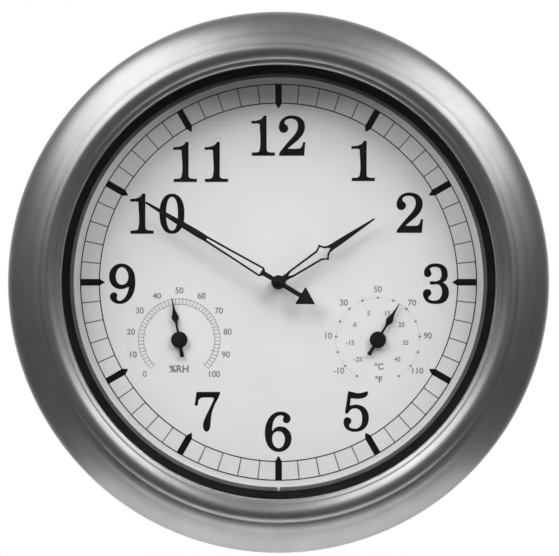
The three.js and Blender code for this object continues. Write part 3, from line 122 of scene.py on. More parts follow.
# Width and outlines of each digit, in hundredths of its height. Each run of points is one smooth curve,
# which ends in a corner at the first point of the next run. A loop of one run is smooth all round.
DIGITS = {
    "1": (59, [[
        [(0, 80)], [(0, 87), (11, 87.6), (20.5, 90.2), (27.5, 94.4), (31, 100)], [(38, 100)],
        [(38, 17), (39.2, 12), (43.5, 9.2), (50, 8.4)], [(58.8, 8.2)], [(58.8, 0)], [(1, 0)], [(1, 8.2)],
        [(9, 8.4), (15.5, 9.2), (19.6, 12), (20.8, 17)], [(20.8, 74), (20, 78.6), (16.4, 80.3), (9, 80.2)],
    ]]),
    "2": (65.8, [[
        [(22.6, 18), (36, 29.5), (51, 42.5), (61, 56), (65.2, 71), (62.4, 85), (52.5, 95.5), (36, 100.4),
         (19.5, 98.6), (6.5, 89.5), (0, 73.5), (1, 64.6), (6.6, 58), (14.4, 57.2), (21.2, 61.6),
         (23.6, 68.6), (20.6, 75.6), (15.6, 79.4), (14.4, 83.6), (17.6, 88.8), (24, 91.8), (32, 92.2),
         (40, 90), (45.8, 83.6), (47.6, 73.6), (44, 60.6), (35, 48), (22, 33.5), (9, 17.6), (1, 6)],
        [(0, 0)], [(63, 0)], [(66.2, 34)], [(60, 34), (57.6, 25), (53.4, 19.4), (46, 18)],
    ]]),
    "3": (65, [[
        [(49.8, 53.8), (57.6, 58), (61.4, 66), (62, 75.5), (59.6, 86), (53, 94.6), (42, 99.4), (30, 100.4),
         (17.6, 98.4), (8.4, 91.6), (3.2, 81.8), (3.2, 73), (8, 67), (14.6, 66.6), (20.2, 70.6),
         (21.4, 77), (18.8, 82.4), (17.6, 86.4), (21.2, 90.2), (28.8, 91.6), (37, 90.8), (43.4, 86.2),
         (46, 77.5), (45.6, 67.5), (41.8, 60), (34.2, 56.4), (25, 56.2), (19.6, 56.2), (16.8, 52.6)],
        [(16.8, 51), (20, 47.6), (26, 47.6), (33, 48.6), (40.4, 46.8), (45.6, 40), (47.6, 29),
         (45.4, 18.4), (38.6, 10.2), (28, 7.6), (19, 9.4), (13.6, 13.6), (14.8, 17.8), (19.6, 22),
         (21, 28.4), (17.2, 34.8), (9.8, 36.6), (2.8, 33.2), (0, 25.8), (2, 16), (7.4, 7.4), (17, 1.4),
         (30, -0.4), (45, 0.6), (56.4, 6.2), (63, 15.6), (65, 27.6), (63.4, 38.4), (58, 47.4)],
    ]]),
    "5": (62.7, [[
        [(11.6, 100.4), (20, 98.8), (28.5, 96.6), (37.3, 95.4), (46, 96.4), (54, 98.8)],
        [(61.4, 100), (60.6, 92.6), (56.4, 86.6), (48.6, 83), (38.2, 81.2), (28, 81.4)],
        [(18, 82.6)], [(16, 64.4), (22.4, 65.6), (31, 67), (41, 65.4), (51.6, 60.2), (59.4, 50.4),
                       (62.9, 37.6), (62, 24), (56.8, 12.6), (48, 4), (36.4, -0.4), (23.6, -0.8),
                       (11.6, 3), (3, 11.4), (0, 21.6), (1.4, 30.2), (7.4, 35.4), (14.6, 34),
                       (19.6, 28), (18.4, 21.6), (14.4, 17), (14.4, 12.4), (20, 8.4), (28.5, 7),
                       (36.6, 8.6), (42.6, 14.4), (45.8, 24.6), (46.4, 36), (44, 47), (37.4, 55),
                       (28.8, 57.4), (20.6, 55.6), (14.4, 50), (8.6, 43.8)],
        [(3.4, 46.4)],
    ]]),
    "6": (66.4, [[
        [(19.4, 52.2), (24.1, 58.2), (30.6, 62), (39, 63), (49.6, 61.2), (59, 53.6), (65, 43), (66.4, 31.6),
         (64, 19.4), (57, 8.6), (46.4, 1.6), (33.6, -0.6), (21.4, 2.4), (11.2, 10), (4, 21.8), (0.6, 36),
         (0, 50), (2, 65), (8, 80.4), (17.6, 92.2), (28.6, 98.6), (40, 100), (51, 98), (59.6, 92.4),
         (64.2, 84.4), (62, 75.4), (55, 71), (47.6, 73.2), (44.6, 79.6), (46.8, 86.4), (44, 90),
         (37.6, 90.4), (29.3, 87), (23, 78.4), (19, 66)],
    ], [[
        (33.6, 50.8), (41, 49.4), (46.6, 43), (49.6, 33.6), (48, 21.4), (42.6, 12.4), (33.6, 8.8),
        (25.4, 13), (19.8, 22.6), (18.1, 33.6), (20.4, 43.4), (26, 49.2),
    ]]]),
    "7": (64.2, [[
        [(5.6, 100)], [(62.6, 100)],
        [(64.2, 97), (59.4, 85), (51.6, 70.5), (45, 54), (41.4, 37.6), (40, 21), (37.6, 7.6), (30.6, 0.4),
         (23.4, 5.4), (21, 16.4), (24.6, 31.6), (31, 46), (38, 60), (43.6, 71.5)],
        [(48, 80.6), (47, 84.6), (42.4, 86), (34, 86), (24, 86), (15.6, 84.6), (10.4, 79), (8.6, 69.6)],
        [(7.4, 65)], [(0.2, 66.4)], [(2.2, 80)], [(4, 95)],
    ]]),
    "9": (65.5, [[
        [(48.6, 41.8), (42.4, 39.2), (35.4, 36.8), (26.5, 36.4), (15.4, 39.8), (6, 48.4), (0.8, 60),
         (0.6, 72.6), (4.4, 85), (12.6, 94.4), (23, 99.4), (34, 100.2), (46, 96.8), (56.4, 88.4),
         (63.2, 75), (65.5, 60), (65.2, 44), (61.6, 28), (54, 14), (43.4, 4), (30.6, -0.2), (18.4, 0.6),
         (8.6, 5.8), (2.6, 14.4), (3.4, 23), (9.8, 28), (17, 27.2), (20.6, 21.6), (19.2, 14.6),
         (21.4, 9), (27.4, 7.6), (34.6, 11), (42, 19.4), (46.8, 30.6)],
    ], [[
        (31.9, 91), (40, 87.4), (46, 78), (48.2, 67), (46, 56.6), (40, 49.6), (31.9, 47.4), (24, 50.2),
        (18.8, 57.6), (16.8, 67), (18.8, 78.4), (24, 87.4),
    ]]]),
}
ZERO_HALF, ZERO_WINDOW_HALF, ZERO_WINDOW_SHARE = 31.2, 14.7, 0.836
ZERO_SQUARENESS = 2.25

# Thermometer and hygrometer
INSTRUMENT_ASIDE = 84.0
INSTRUMENT_DROP = 48.6
SCALE_LINE = 0.45
SMALL_TEXT, SMALL_BOLD, SIGN_BOLD = 5.2, 0.12, 0.25
CELSIUS_TEXT_SHARE, FONT_SCALE = 0.76, 1.38
# Signs of each instrument: text, x and z from its middle, and height
SIGNS = {
    "hygrometer": [("%RH", 0, -25, 6.0)],
    "thermometer": [("°C", 1, -23, 5.2), ("°F", 0.6, -34, 5.2)],
}
STEP_PARTS = 5
HYGROMETER_START = math.radians(-135)
HYGROMETER_STEP, HYGROMETER_STEPS, HYGROMETER_UNITS = math.radians(27), 10, 10
HYGROMETER_RADII, HYGROMETER_LONG = (30.1, 34.6), 1.5
HYGROMETER_NUMBERS = 41.4
THERMOMETER_DEGREES, THERMOMETER_STEPS = 300, 14
THERMOMETER_START = math.radians(-THERMOMETER_DEGREES / 2)
THERMOMETER_STEP = math.radians(THERMOMETER_DEGREES / THERMOMETER_STEPS)
THERMOMETER_DOTS = 35.5
THERMOMETER_OUTER = 42.4
THERMOMETER_INNER = 23.6
FAHRENHEIT_NUMBERS, CELSIUS_NUMBERS = range(-10, 111, 20), range(-25, 46, 10)
FAHRENHEIT_MIDDLE, FAHRENHEIT_RANGE = 50, 140
FAHRENHEIT_IN_CELSIUS, FAHRENHEIT_FREEZING = 1.8, 32
DOT_RADIUS, FINE_DOT_RADIUS = 1.05, 0.35
POINTER_BACK = 23.5
POINTER_THICKNESS = 0.5
POINTER_LENGTH = 35.5
POINTER_HALF = 3.1
POINTER_TAIL = 15.0
POINTER_TAIL_HALF = 1.8
POINTER_HUB = 7.0
POINTER_FRONT = 25.1
POINTER_SHOULDER = 24.2
HYGROMETER_READING = math.radians(-10.2)
THERMOMETER_READING = math.radians(30.9)
POINTER_SHARES = [
    (0, 0.33), (0.38, 0.3), (0.44, 0.5), (0.48, 0.78), (0.53, 1), (0.575, 0.92), (0.63, 0.66), (0.7, 0.42),
    (0.8, 0.26), (1, 0.1),
]

# Hands
HAND_THICKNESS = 0.6
HAND_EDGE = 0.12
HOUR_BACK = 26.7
MINUTE_BACK = 28.9
HUB_HEIGHT = 1.6
HUB_RADIUS = 6.1
HUB_TOP_SHARE = 0.86
HOUR_LENGTH, HOUR_HALF = 97.3, 8.0
MINUTE_LENGTH, MINUTE_HALF = 131.0, 4.4
TAIL_HALF = 2.0
ARROW_START, ARROW_LENGTH, ARROW_HALF = 21.4, 14.8, 8.6
ARROW_ROUNDING = 1.0
NUT_RADIUS = 3.2
NUT_BACK, NUT_SHOULDER, NUT_FRONT = 30.7, 31.6, 32.7
HOUR_READING = math.radians(56.5)
MINUTE_READING = math.radians(-59)
HOUR_OUTLINE_SHARES = [
    (0, 0.34), (0.1, 0.34), (0.13, 0.41), (0.42, 0.6), (0.45, 0.78), (0.472, 1), (0.49, 0.64),
    (0.515, 0.4), (0.55, 0.34), (0.65, 0.31), (1, 0.09),
]
HOUR_WINDOW_SHARES = [(0.105, 0.04), (0.14, 0.2), (0.425, 0.38), (0.467, 0.7), (0.49, 0.34), (0.535, 0.04)]
MINUTE_OUTLINE_SHARES = [
    (0, 0.46), (0.11, 0.46), (0.122, 0.84), (0.13, 1), (0.35, 0.74), (0.545, 0.58), (0.6, 0.66),
    (0.72, 0.6), (1, 0.2),
]
MINUTE_WINDOW_SHARES = [(0.132, 0.62), (0.35, 0.36), (0.54, 0.16)]

# Rear case
FLOOR_BACK, FLOOR_FRONT = 19.3, 21.3
PAN_RADIUS, SKIRT_RADIUS, FLANGE_RADIUS = 187.9, 189.9, 221.1
FLANGE_BACK, FLANGE_FRONT = 8.0, 10.0
SHAFT_HOLE = 4.3
SHELL_ROUNDING = 0.8
RIBS = 12
RIB_START, RIB_WIDTH, RIB_BACK = 62.0, 1.6, 16.3
RIB_EMBED, RIB_ROUNDING, RIB_EDGE = 0.4, 0.6, 0.3
CASE_SCREWS = 6
SCREW_CIRCLE = 205.5
SCREW_RADIUS, SCREW_BACK, SCREW_FRONT = 3.2, 6.0, 7.8
SHANK_RADIUS, SHANK_FRONT = 1.5, 19.0
SLOT_WIDTH = 0.9
SCREW_EMBED = 0.2
HANGER_TOP, HANGER_BOTTOM, HANGER_HALF = 218.35, 192.65, 23.0
HANGER_BACK, HANGER_FRONT = 2.0, 3.2
HANGER_ROUNDING, HANGER_EDGE, HANGER_HOLE_ROOM = 3.0, 0.2, 0.3
KEY_HEIGHT, KEY_RADIUS, SLOT_TOP, SLOT_HALF = 202.85, 5.2, 210.75, 2.6
HANGER_SCREW_ASIDE, HANGER_SCREW_HEIGHT = 17.5, 205.5
HANGER_HEAD_RADIUS, HANGER_HEAD_BACK, HANGER_HEAD_FRONT = 2.4, 0.8, 1.8
HANGER_SHANK_RADIUS, HANGER_SHANK_FRONT = 1.1, 9.4
SPACER_HALF, SPACER_BACK, SPACER_FRONT, SPACER_EDGE = 5.5, 3.4, 7.8, 0.4

# Movement
BATTERY_HALF, BATTERY_RADIUS = 24.5, 7.25
BATTERY_DROP, BATTERY_DEPTH = 29.63, 9.05
# The battery's wrap at both ends and its steel cap, as radius and distance along it from that end
WRAP_NEGATIVE = [(0, 0.3), (5.9, 0.3), (6.1, 0), (6.7, 0), (7.15, 0.2), (BATTERY_RADIUS, 0.8)]
WRAP_POSITIVE = [(BATTERY_RADIUS, -1.2), (7.05, -0.5), (6.4, -0.1), (5.6, 0), (5.4, -0.4), (0, -0.4)]
CAP_POSITIVE = [
    (0, -0.5), (4.9, -0.5), (4.9, -0.1), (3.1, 0.1), (2.75, 0.4), (2.75, 1.1), (2.35, 1.5), (0, 1.5),
]
BUTTON_COLUMN, BUTTON_PITCH = -25.0, 9.5
# A button's cap, collar and nose, as radius and depth
BUTTON_SECTIONS = [
    [(0, 3.4), (2.4, 3.4), (2.4, 1.0), (2.05, 0.7), (1.44, 0.82), (0, 0.92)],
    [(0, 3.2), (3.5, 3.2), (3.5, 3.9), (0, 3.9)],
    [(0, 3.4), (1.2, 3.4), (1.2, 4.4), (0, 4.4)],
]
SPRING_TURNS, SPRING_STEPS, SPRING_WIRE = 4, 24, 0.35
SPRING_END, SPRING_START = -24.9, -27.0
SPRING_RADIUS, SPRING_TIP_RADIUS = 3.4, 2.2
CONTACT_LEFT, CONTACT_RIGHT = -27.5, -27.0
CONTACT_HALF, CONTACT_EDGE = 4.5, 0.15

# Instruments behind the dial
HOUSING_RADIUS, HOUSING_FLANGE = 15.0, 18.0
HOUSING_BACK, HOUSING_FRONT = 10.1, 19.1
HOUSING_WALL = 1.0
COLLAR_HOLE = 1.9
COIL_TURNS, COIL_STEPS = 5, 48
COIL_INNER, COIL_OUTER, COIL_STRIP = 3.0, 13.2, 0.35
COIL_BACK, COIL_FRONT = 14.8, 17.8
BRIDGE_HALF, BRIDGE_BACK, BRIDGE_FRONT = 3.0, 8.9, 9.9
BRIDGE_ROUNDING, BRIDGE_HOLE, BRIDGE_EDGE = 1.5, 1.1, 0.2

# Patterns of the surfaces: the noise's scale and detail, and the span of it that is used
TONE_NOISE, TONE_SPAN = (40, 3), (0.35, 0.65)
ROUGHNESS_COARSER, ROUGHNESS_DETAIL, ROUGHNESS_SPAN = 8, 4, (0.3, 0.7)
GRAIN_DETAIL, GRAIN_STRENGTH = 2, 0.4
LENS_NOISE, LENS_ROUGHNESS, LENS_INDEX = (30, 3), (0.0, 0.012), 1.45


# Shapes

def point(x, z, depth):
    return (SHAFT.x + x * MM, -depth * MM, SHAFT.z + z * MM)


def mesh_of(points, faces):
    mesh = bpy.data.meshes.new("part")
    mesh.from_pydata(points, [], faces)
    return mesh


def combined(name, meshes):
    whole = bmesh.new()
    for mesh in meshes:
        whole.from_mesh(mesh)
        bpy.data.meshes.remove(mesh)
    bmesh.ops.recalc_face_normals(whole, faces=whole.faces[:])
    result = bpy.data.meshes.new(name)
    whole.to_mesh(result)
    whole.free()
    result.shade_smooth()
    result.set_sharp_from_angle(angle=SHARP_ANGLE)
    return result


def add_piece(name, meshes, material, body, nodes=()):
    piece = bpy.data.objects.new(name, combined(name, meshes))
    piece.data.materials.append(material)
    scene.collection.objects.link(piece)
    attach(piece, body)
    if nodes:
        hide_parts(*nodes)


# The same outline with each corner rounded off.
def rounded(outline, radius):
    result = []
    count = len(outline)
    for index, corner in enumerate(outline):
        here = Vector(corner)
        before = Vector(outline[index - 1]) - here
        after = Vector(outline[(index + 1) % count]) - here
        reach = min(radius, before.length / 2, after.length / 2)
        start = here + before.normalized() * reach
        end = here + after.normalized() * reach
        for step in range(CORNER_STEPS + 1):
            share = step / CORNER_STEPS
            result.append(tuple(start.lerp(here, share).lerp(here.lerp(end, share), share)))
    return result


def curve_through(start, curves):
    result = []
    a = Vector(start)
    for curve in curves:
        b, c, d = (Vector(corner) for corner in curve)
        for step in range(CURVE_STEPS):
            s = step / CURVE_STEPS
            t = 1 - s
            result.append(tuple(a * t ** 3 + b * 3 * t * t * s + c * 3 * t * s * s + d * s ** 3))
        a = d
    return [*result, curves[-1][-1]]


# A closed outline of radius and depth, turned about an axis that runs from the wall forwards.
def turned(outline, centre=(0, 0), sides=RING_SIDES, start=0.0, sweep=TURN):
    whole = sweep >= TURN
    rows = sides if whole else sides + 1
    count = len(outline)
    points = []
    for row in range(rows):
        angle = start + sweep * row / sides
        across, up = math.sin(angle), math.cos(angle)
        for radius, depth in outline:
            points.append(point(centre[0] + radius * across, centre[1] + radius * up, depth))
    faces = []
    for row in range(sides):
        for index in range(count):
            following = (index + 1) % count
            here, there = row * count, (row + 1) % rows * count
            corners = [here + index, here + following, there + following, there + index]
            if outline[index][0] == 0:
                corners.remove(there + index)
            if outline[following][0] == 0:
                corners.remove(there + following)
            if len(corners) > 2:
                faces.append(corners)
    if not whole:
        faces.append(list(range(count)))
        faces.append([(rows - 1) * count + index for index in range(count)])
    return welded(mesh_of(points, faces))


def welded(mesh):
    form = bmesh.new()
    form.from_mesh(mesh)
    bmesh.ops.remove_doubles(form, verts=form.verts[:], dist=WELD * MM)
    form.to_mesh(mesh)
    form.free()
    return mesh


def block(left, right, bottom, top, back, front, edge):
    form = bmesh.new()
    corners = [
        form.verts.new(point(x, z, depth)) for depth in (back, front) for x, z in
        ((left, bottom), (right, bottom), (right, top), (left, top))
    ]
    for ring in BOX_FACES:
        form.faces.new([corners[index] for index in ring])
    bmesh.ops.bevel(
        form, geom=form.edges[:], offset=edge * MM, segments=EDGE_STEPS, profile=EDGE_PROFILE,
        affect="EDGES",
    )
    mesh = bpy.data.meshes.new("part")
    form.to_mesh(mesh)
    form.free()
    return mesh


# The mesh of a flat curve or text, stood up in the plane of the dial at a place and a depth.
def drawn(curve, x, z, depth):
    drawing = bpy.data.objects.new("drawing", curve)
    scene.collection.objects.link(drawing)
    shape = drawing.evaluated_get(bpy.context.evaluated_depsgraph_get())
    mesh = bpy.data.meshes.new_from_object(shape)
    bpy.data.objects.remove(drawing)
    bpy.data.curves.remove(curve)
    upright = Matrix(((1, 0, 0), (0, 0, -1), (0, 1, 0))).to_4x4()
    mesh.transform(Matrix.Translation(Vector(point(x, z, depth))) @ upright)
    return mesh


# A plate in the plane of the dial, from its outline and its windows, with rounded edges.
def plate(loops, back, front, edge=0.0):
    curve = bpy.data.curves.new("drawing", "CURVE")
    curve.dimensions = "2D"
    curve.fill_mode = "BOTH"
    curve.extrude = ((front - back) / 2 - edge) * MM
    curve.bevel_depth = edge * MM
    curve.bevel_resolution = EDGE_STEPS
    curve.offset = -edge * MM
    for loop in loops:
        spline = curve.splines.new("POLY")
        spline.points.add(len(loop) - 1)
        for corner, (x, z) in zip(spline.points, loop):
            corner.co = (x * MM, z * MM, 0, 1)
        spline.use_cyclic_u = True
    return welded(drawn(curve, 0, 0, (back + front) / 2))


def arc(radius, centre, start, sweep, steps):
    angles = [start + sweep * step / steps for step in range(steps + 1)]
    return [(centre[0] + radius * math.cos(a), centre[1] + radius * math.sin(a)) for a in angles]


def circle(radius, centre=(0, 0), sides=SMALL_SIDES):
    return arc(radius, centre, 0, TURN, sides)[:-1]


# An outline from its half, the same on both sides of a line from the centre towards a reading.
def both_sides(shares, length, half, reading, centre=(0, 0)):
    side = [(share * length, width * half) for share, width in shares]
    around = side + [(along, -across) for along, across in reversed(side)]
    return placed(around, reading, centre)


# Points given along and across the line from the centre towards a reading, which is clockwise from twelve.
def placed(loop, reading, centre=(0, 0)):
    ahead = (math.sin(reading), math.cos(reading))
    aside = (-math.cos(reading), math.sin(reading))
    return [
        (centre[0] + along * ahead[0] + across * aside[0], centre[1] + along * ahead[1] + across * aside[1])
        for along, across in loop
    ]


# A flat round plate with a rounded rim. The narrow flat ring beside the rim keeps the rim's smooth shading
# off its faces, so that a pane made this way doesn't bend what shows through it.
def disc(radius, back, front, centre=(0, 0), sides=ROUND_SIDES, edge=EDGE):
    flat = radius - 2 * edge
    corners = rounded([(0, back), (radius, back), (radius, front), (0, front)], edge)
    rim = [corner for corner in corners if corner[0] > flat]
    return turned([(0, back), (flat, back), *rim, (flat, front), (0, front)], centre, sides)


# A round cap that swells forwards.
def dome(radius, back, shoulder, front, centre=(0, 0)):
    rise = [
        (radius * math.cos(QUARTER * step / CURVE_STEPS),
         shoulder + (front - shoulder) * math.sin(QUARTER * step / CURVE_STEPS))
        for step in range(CURVE_STEPS)
    ]
    return turned([(0, back), (radius, back), *rise, (0, front)], centre, ROUND_SIDES)


# Print

# A smooth curve through points. A missing point before or after them is mirrored from the next ones.
def smooth_run(points, before, after):
    result = []
    whole = [before, *points, after]
    for index in range(1, len(whole) - 2):
        a, b, c, d = (Vector(corner) if corner else None for corner in whole[index - 1:index + 3])
        a = a if a else b * 2 - c
        d = d if d else c * 2 - b
        first, span, last = (max(step.length, SHORTEST) for step in (b - a, c - b, d - c))
        leaving = ((b - a) / first - (c - a) / (first + span) + (c - b) / span) * span
        arriving = ((c - b) / span - (d - b) / (span + last) + (d - c) / last) * span
        for step in range(CURVE_STEPS):
            s = step / CURVE_STEPS
            result.append(tuple(
                b * (2 * s ** 3 - 3 * s ** 2 + 1) + leaving * (s ** 3 - 2 * s ** 2 + s)
                + c * (3 * s ** 2 - 2 * s ** 3) + arriving * (s ** 3 - s ** 2)
            ))
    return result


def digit_loop(runs):
    if len(runs) == 1:
        ring = runs[0]
        return smooth_run([*ring, ring[0]], ring[-1], ring[1])
    result = []
    for index, run in enumerate(runs):
        following = runs[(index + 1) % len(runs)][0]
        if len(run) == 1:
            result.append(run[0])
        else:
            result.extend(smooth_run([*run, following], None, None))
    return result


def oval(half_width, half_height, centre):
    result = []
    for side in range(ROUND_SIDES):
        angle = TURN * side / ROUND_SIDES
        across, up = math.cos(angle), math.sin(angle)
        result.append((
            centre[0] + math.copysign(abs(across) ** (2 / ZERO_SQUARENESS), across) * half_width,
            centre[1] + math.copysign(abs(up) ** (2 / ZERO_SQUARENESS), up) * half_height,
        ))
    return result


def digit(character):
    if character == "0":
        half = DIGIT_UNITS / 2
        centre = (ZERO_HALF, half)
        window = oval(ZERO_WINDOW_HALF, half * ZERO_WINDOW_SHARE, centre)
        return 2 * ZERO_HALF, [oval(ZERO_HALF, half, centre), window]
    width, loops = DIGITS[character]
    return width, [digit_loop(runs) for runs in loops]


def printed(loops):
    return plate(loops, DIAL_FRONT, DIAL_FRONT + INK)


def number(text, x, z, gap):
    size = DIGIT_HEIGHT / DIGIT_UNITS * PRINT_SCALE
    shapes = [digit(character) for character in text]
    total = sum(width for width, _ in shapes) * size + gap * (len(text) - 1)
    left = x * PRINT_SCALE - total / 2
    bottom = z * PRINT_SCALE - DIGIT_UNITS / 2 * size
    meshes = []
    for width, loops in shapes:
        moved = [[(left + px * size, bottom + pz * size) for px, pz in loop] for loop in loops]
        meshes.append(printed(moved))
        left += width * size + gap
    return meshes


def printed_ring(radius, width, centre=(0, 0), start=0.0, sweep=TURN):
    inner, outer = radius - width / 2, radius + width / 2
    back, front = DIAL_FRONT, DIAL_FRONT + INK
    section = [(inner, back), (outer, back), (outer, front), (inner, front)]
    return turned(section, centre, RING_SIDES, start, sweep)


def printed_line(angle, start, end, width, centre=(0, 0)):
    loop = [(start, width / 2), (end, width / 2), (end, -width / 2), (start, -width / 2)]
    points = [point(x, z, depth) for depth in (DIAL_FRONT, DIAL_FRONT + INK)
              for x, z in placed(loop, angle, centre)]
    return mesh_of(points, BOX_FACES)


def small_text(text, x, z, size=SMALL_TEXT, bold=SMALL_BOLD):
    letters = bpy.data.curves.new("letters", "FONT")
    letters.body = text
    letters.size = size * FONT_SCALE * MM
    letters.align_x = "CENTER"
    letters.align_y = "CENTER"
    letters.extrude = INK / 2 * MM
    letters.offset = bold * MM
    return drawn(letters, x, z, DIAL_FRONT + INK / 2)


def black_print():
    meshes = [printed_ring(radius * PRINT_SCALE, TRACK_LINE) for radius in (TRACK_INNER, TRACK_OUTER)]
    for hour in range(HOURS):
        mark = [
            (TRACK_OUTER, HOUR_MARK_HALF), (HOUR_MARK_END, HOUR_MARK_HALF), (HOUR_MARK_TIP, 0),
            (HOUR_MARK_END, -HOUR_MARK_HALF), (TRACK_OUTER, -HOUR_MARK_HALF),
        ]
        scaled = [(along * PRINT_SCALE, across) for along, across in rounded(mark, HOUR_MARK_ROUNDING)]
        meshes.append(printed([placed(scaled, TURN * hour / HOURS)]))
    for text, (x, z, gap) in NUMBERS.items():
        meshes.extend(number(text, x, z, gap))
    return meshes


def minute_print():
    inner, outer = TRACK_INNER * PRINT_SCALE, TRACK_OUTER * PRINT_SCALE
    marks = [minute for minute in range(MINUTES) if minute % (MINUTES // HOURS)]
    return [printed_line(TURN * minute / MINUTES, inner, outer, MINUTE_LINE) for minute in marks]


def spot(radius, reading, centre):
    return placed([(radius, 0)], reading, centre)[0]


def signs(name, centre):
    aside, up = centre
    return [small_text(sign, aside + x, up + z, size, SIGN_BOLD) for sign, x, z, size in SIGNS[name]]


def hygrometer_print():
    centre = (-INSTRUMENT_ASIDE, -INSTRUMENT_DROP)
    inner, outer = HYGROMETER_RADII
    meshes = [
        printed_ring(radius, SCALE_LINE, centre, HYGROMETER_START, HYGROMETER_STEPS * HYGROMETER_STEP)
        for radius in HYGROMETER_RADII
    ]
    for tick in range(HYGROMETER_STEPS * STEP_PARTS + 1):
        angle = HYGROMETER_START + HYGROMETER_STEP * tick / STEP_PARTS
        start = inner if tick % STEP_PARTS else inner - HYGROMETER_LONG
        meshes.append(printed_line(angle, start, outer, SCALE_LINE, centre))
    for step in range(HYGROMETER_STEPS + 1):
        angle = HYGROMETER_START + HYGROMETER_STEP * step
        meshes.append(small_text(str(step * HYGROMETER_UNITS), *spot(HYGROMETER_NUMBERS, angle, centre)))
    return meshes + signs("hygrometer", centre)


def thermometer_angle(fahrenheit):
    return math.radians((fahrenheit - FAHRENHEIT_MIDDLE) * THERMOMETER_DEGREES / FAHRENHEIT_RANGE)


def thermometer_print():
    centre = (INSTRUMENT_ASIDE, -INSTRUMENT_DROP)
    meshes = []
    for dot in range(THERMOMETER_STEPS * STEP_PARTS + 1):
        radius, sides = (FINE_DOT_RADIUS, FINE_SIDES) if dot % STEP_PARTS else (DOT_RADIUS, SMALL_SIDES)
        place = spot(THERMOMETER_DOTS, THERMOMETER_START + THERMOMETER_STEP * dot / STEP_PARTS, centre)
        meshes.append(printed([circle(radius, place, sides)]))
    for fahrenheit in FAHRENHEIT_NUMBERS:
        place = spot(THERMOMETER_OUTER, thermometer_angle(fahrenheit), centre)
        meshes.append(small_text(str(fahrenheit), *place))
    for celsius in CELSIUS_NUMBERS:
        fahrenheit = celsius * FAHRENHEIT_IN_CELSIUS + FAHRENHEIT_FREEZING
        place = spot(THERMOMETER_INNER, thermometer_angle(fahrenheit), centre)
        meshes.append(small_text(str(celsius), *place, SMALL_TEXT * CELSIUS_TEXT_SHARE))
    return meshes + signs("thermometer", centre)


# Front of the clock

def frame_meshes():
    return [turned([*curve_through(FRAME_START, FRAME_CURVES), *FRAME_BACK])]


def lens_meshes():
    return [disc(LENS_RADIUS, LENS_BACK, LENS_FRONT, sides=RING_SIDES)]


def ring_slope_meshes():
    front = LENS_BACK - RING_GAP
    slope = [
        (LENS_RADIUS, LIP_BACK), (LENS_RADIUS, front), (OPENING_RADIUS, front), (LIP_OUTER, LIP_FRONT),
        (LIP_OUTER, LIP_BACK),
    ]
    return [turned(rounded(slope, EDGE))]


def ring_lip_meshes():
    lip = [(LIP_INNER, LIP_BACK), (LIP_INNER, LIP_FRONT), (LIP_OUTER, LIP_FRONT), (LIP_OUTER, LIP_BACK)]
    notch = NOTCH_WIDTH / LIP_INNER
    return [turned(rounded(lip, EDGE), (0, 0), RING_SIDES, HALF_TURN + notch / 2, TURN - notch)]


def hand_hub(back):
    shoulder, front, top = back + HUB_HEIGHT / 2, back + HUB_HEIGHT, HUB_RADIUS * HUB_TOP_SHARE
    section = [(0, back), (HUB_RADIUS, back), (HUB_RADIUS, shoulder), (top, front), (0, front)]
    return turned(rounded(section, EDGE), (0, 0), ROUND_SIDES)


def hand_plate(loops, back):
    return plate(loops, back, back + HAND_THICKNESS, HAND_EDGE)


def hour_hand_meshes():
    outline = both_sides(HOUR_OUTLINE_SHARES, HOUR_LENGTH, HOUR_HALF, HOUR_READING)
    window = both_sides(HOUR_WINDOW_SHARES, HOUR_LENGTH, HOUR_HALF, HOUR_READING)
    return [hand_plate([outline, window], HOUR_BACK), hand_hub(HOUR_BACK)]


def minute_hand_meshes():
    outline = both_sides(MINUTE_OUTLINE_SHARES, MINUTE_LENGTH, MINUTE_HALF, MINUTE_READING)
    window = both_sides(MINUTE_WINDOW_SHARES, MINUTE_LENGTH, MINUTE_HALF, MINUTE_READING)
    tail_end = -ARROW_START - ARROW_ROUNDING
    tail = [(0, TAIL_HALF), (tail_end, TAIL_HALF), (tail_end, -TAIL_HALF), (0, -TAIL_HALF)]
    arrow = [(-ARROW_START, ARROW_HALF), (-ARROW_START - ARROW_LENGTH, 0), (-ARROW_START, -ARROW_HALF)]
    parts = ([outline, window], [placed(tail, MINUTE_READING)],
             [placed(rounded(arrow, ARROW_ROUNDING), MINUTE_READING)])
    return [*(hand_plate(loops, MINUTE_BACK) for loops in parts), hand_hub(MINUTE_BACK)]


def pointer_meshes(reading, centre):
    blade = both_sides(POINTER_SHARES, POINTER_LENGTH, POINTER_HALF, reading, centre)
    half, wide = POINTER_TAIL_HALF / 2, POINTER_TAIL_HALF
    tail = [(0, half), (-POINTER_TAIL, wide), (-POINTER_TAIL, -wide), (0, -half)]
    back, front = POINTER_BACK, POINTER_BACK + POINTER_THICKNESS
    return [
        plate([blade], back, front, HAND_EDGE),
        plate([placed(rounded(tail, EDGE), reading, centre)], back, front, HAND_EDGE),
        dome(POINTER_HUB, back, POINTER_SHOULDER, POINTER_FRONT, centre),
    ]


# Back of the clock

def rear_shell_meshes():
    pan = rounded([
        (SHAFT_HOLE, FLOOR_BACK), (PAN_RADIUS, FLOOR_BACK), (PAN_RADIUS, FLANGE_BACK),
        (FLANGE_RADIUS, FLANGE_BACK), (FLANGE_RADIUS, FLANGE_FRONT), (SKIRT_RADIUS, FLANGE_FRONT),
        (SKIRT_RADIUS, FLOOR_FRONT), (SHAFT_HOLE, FLOOR_FRONT),
    ], SHELL_ROUNDING)
    meshes = [turned(pan)]
    for rib in range(RIBS):
        reading = TURN * (rib + 0.5) / RIBS
        half, end = RIB_WIDTH / 2, PAN_RADIUS + RIB_EMBED
        strip = rounded([(RIB_START, half), (end, half), (end, -half), (RIB_START, -half)], RIB_ROUNDING)
        meshes.append(plate([placed(strip, reading)], RIB_BACK, FLOOR_BACK + RIB_EMBED, RIB_EDGE))
    return meshes


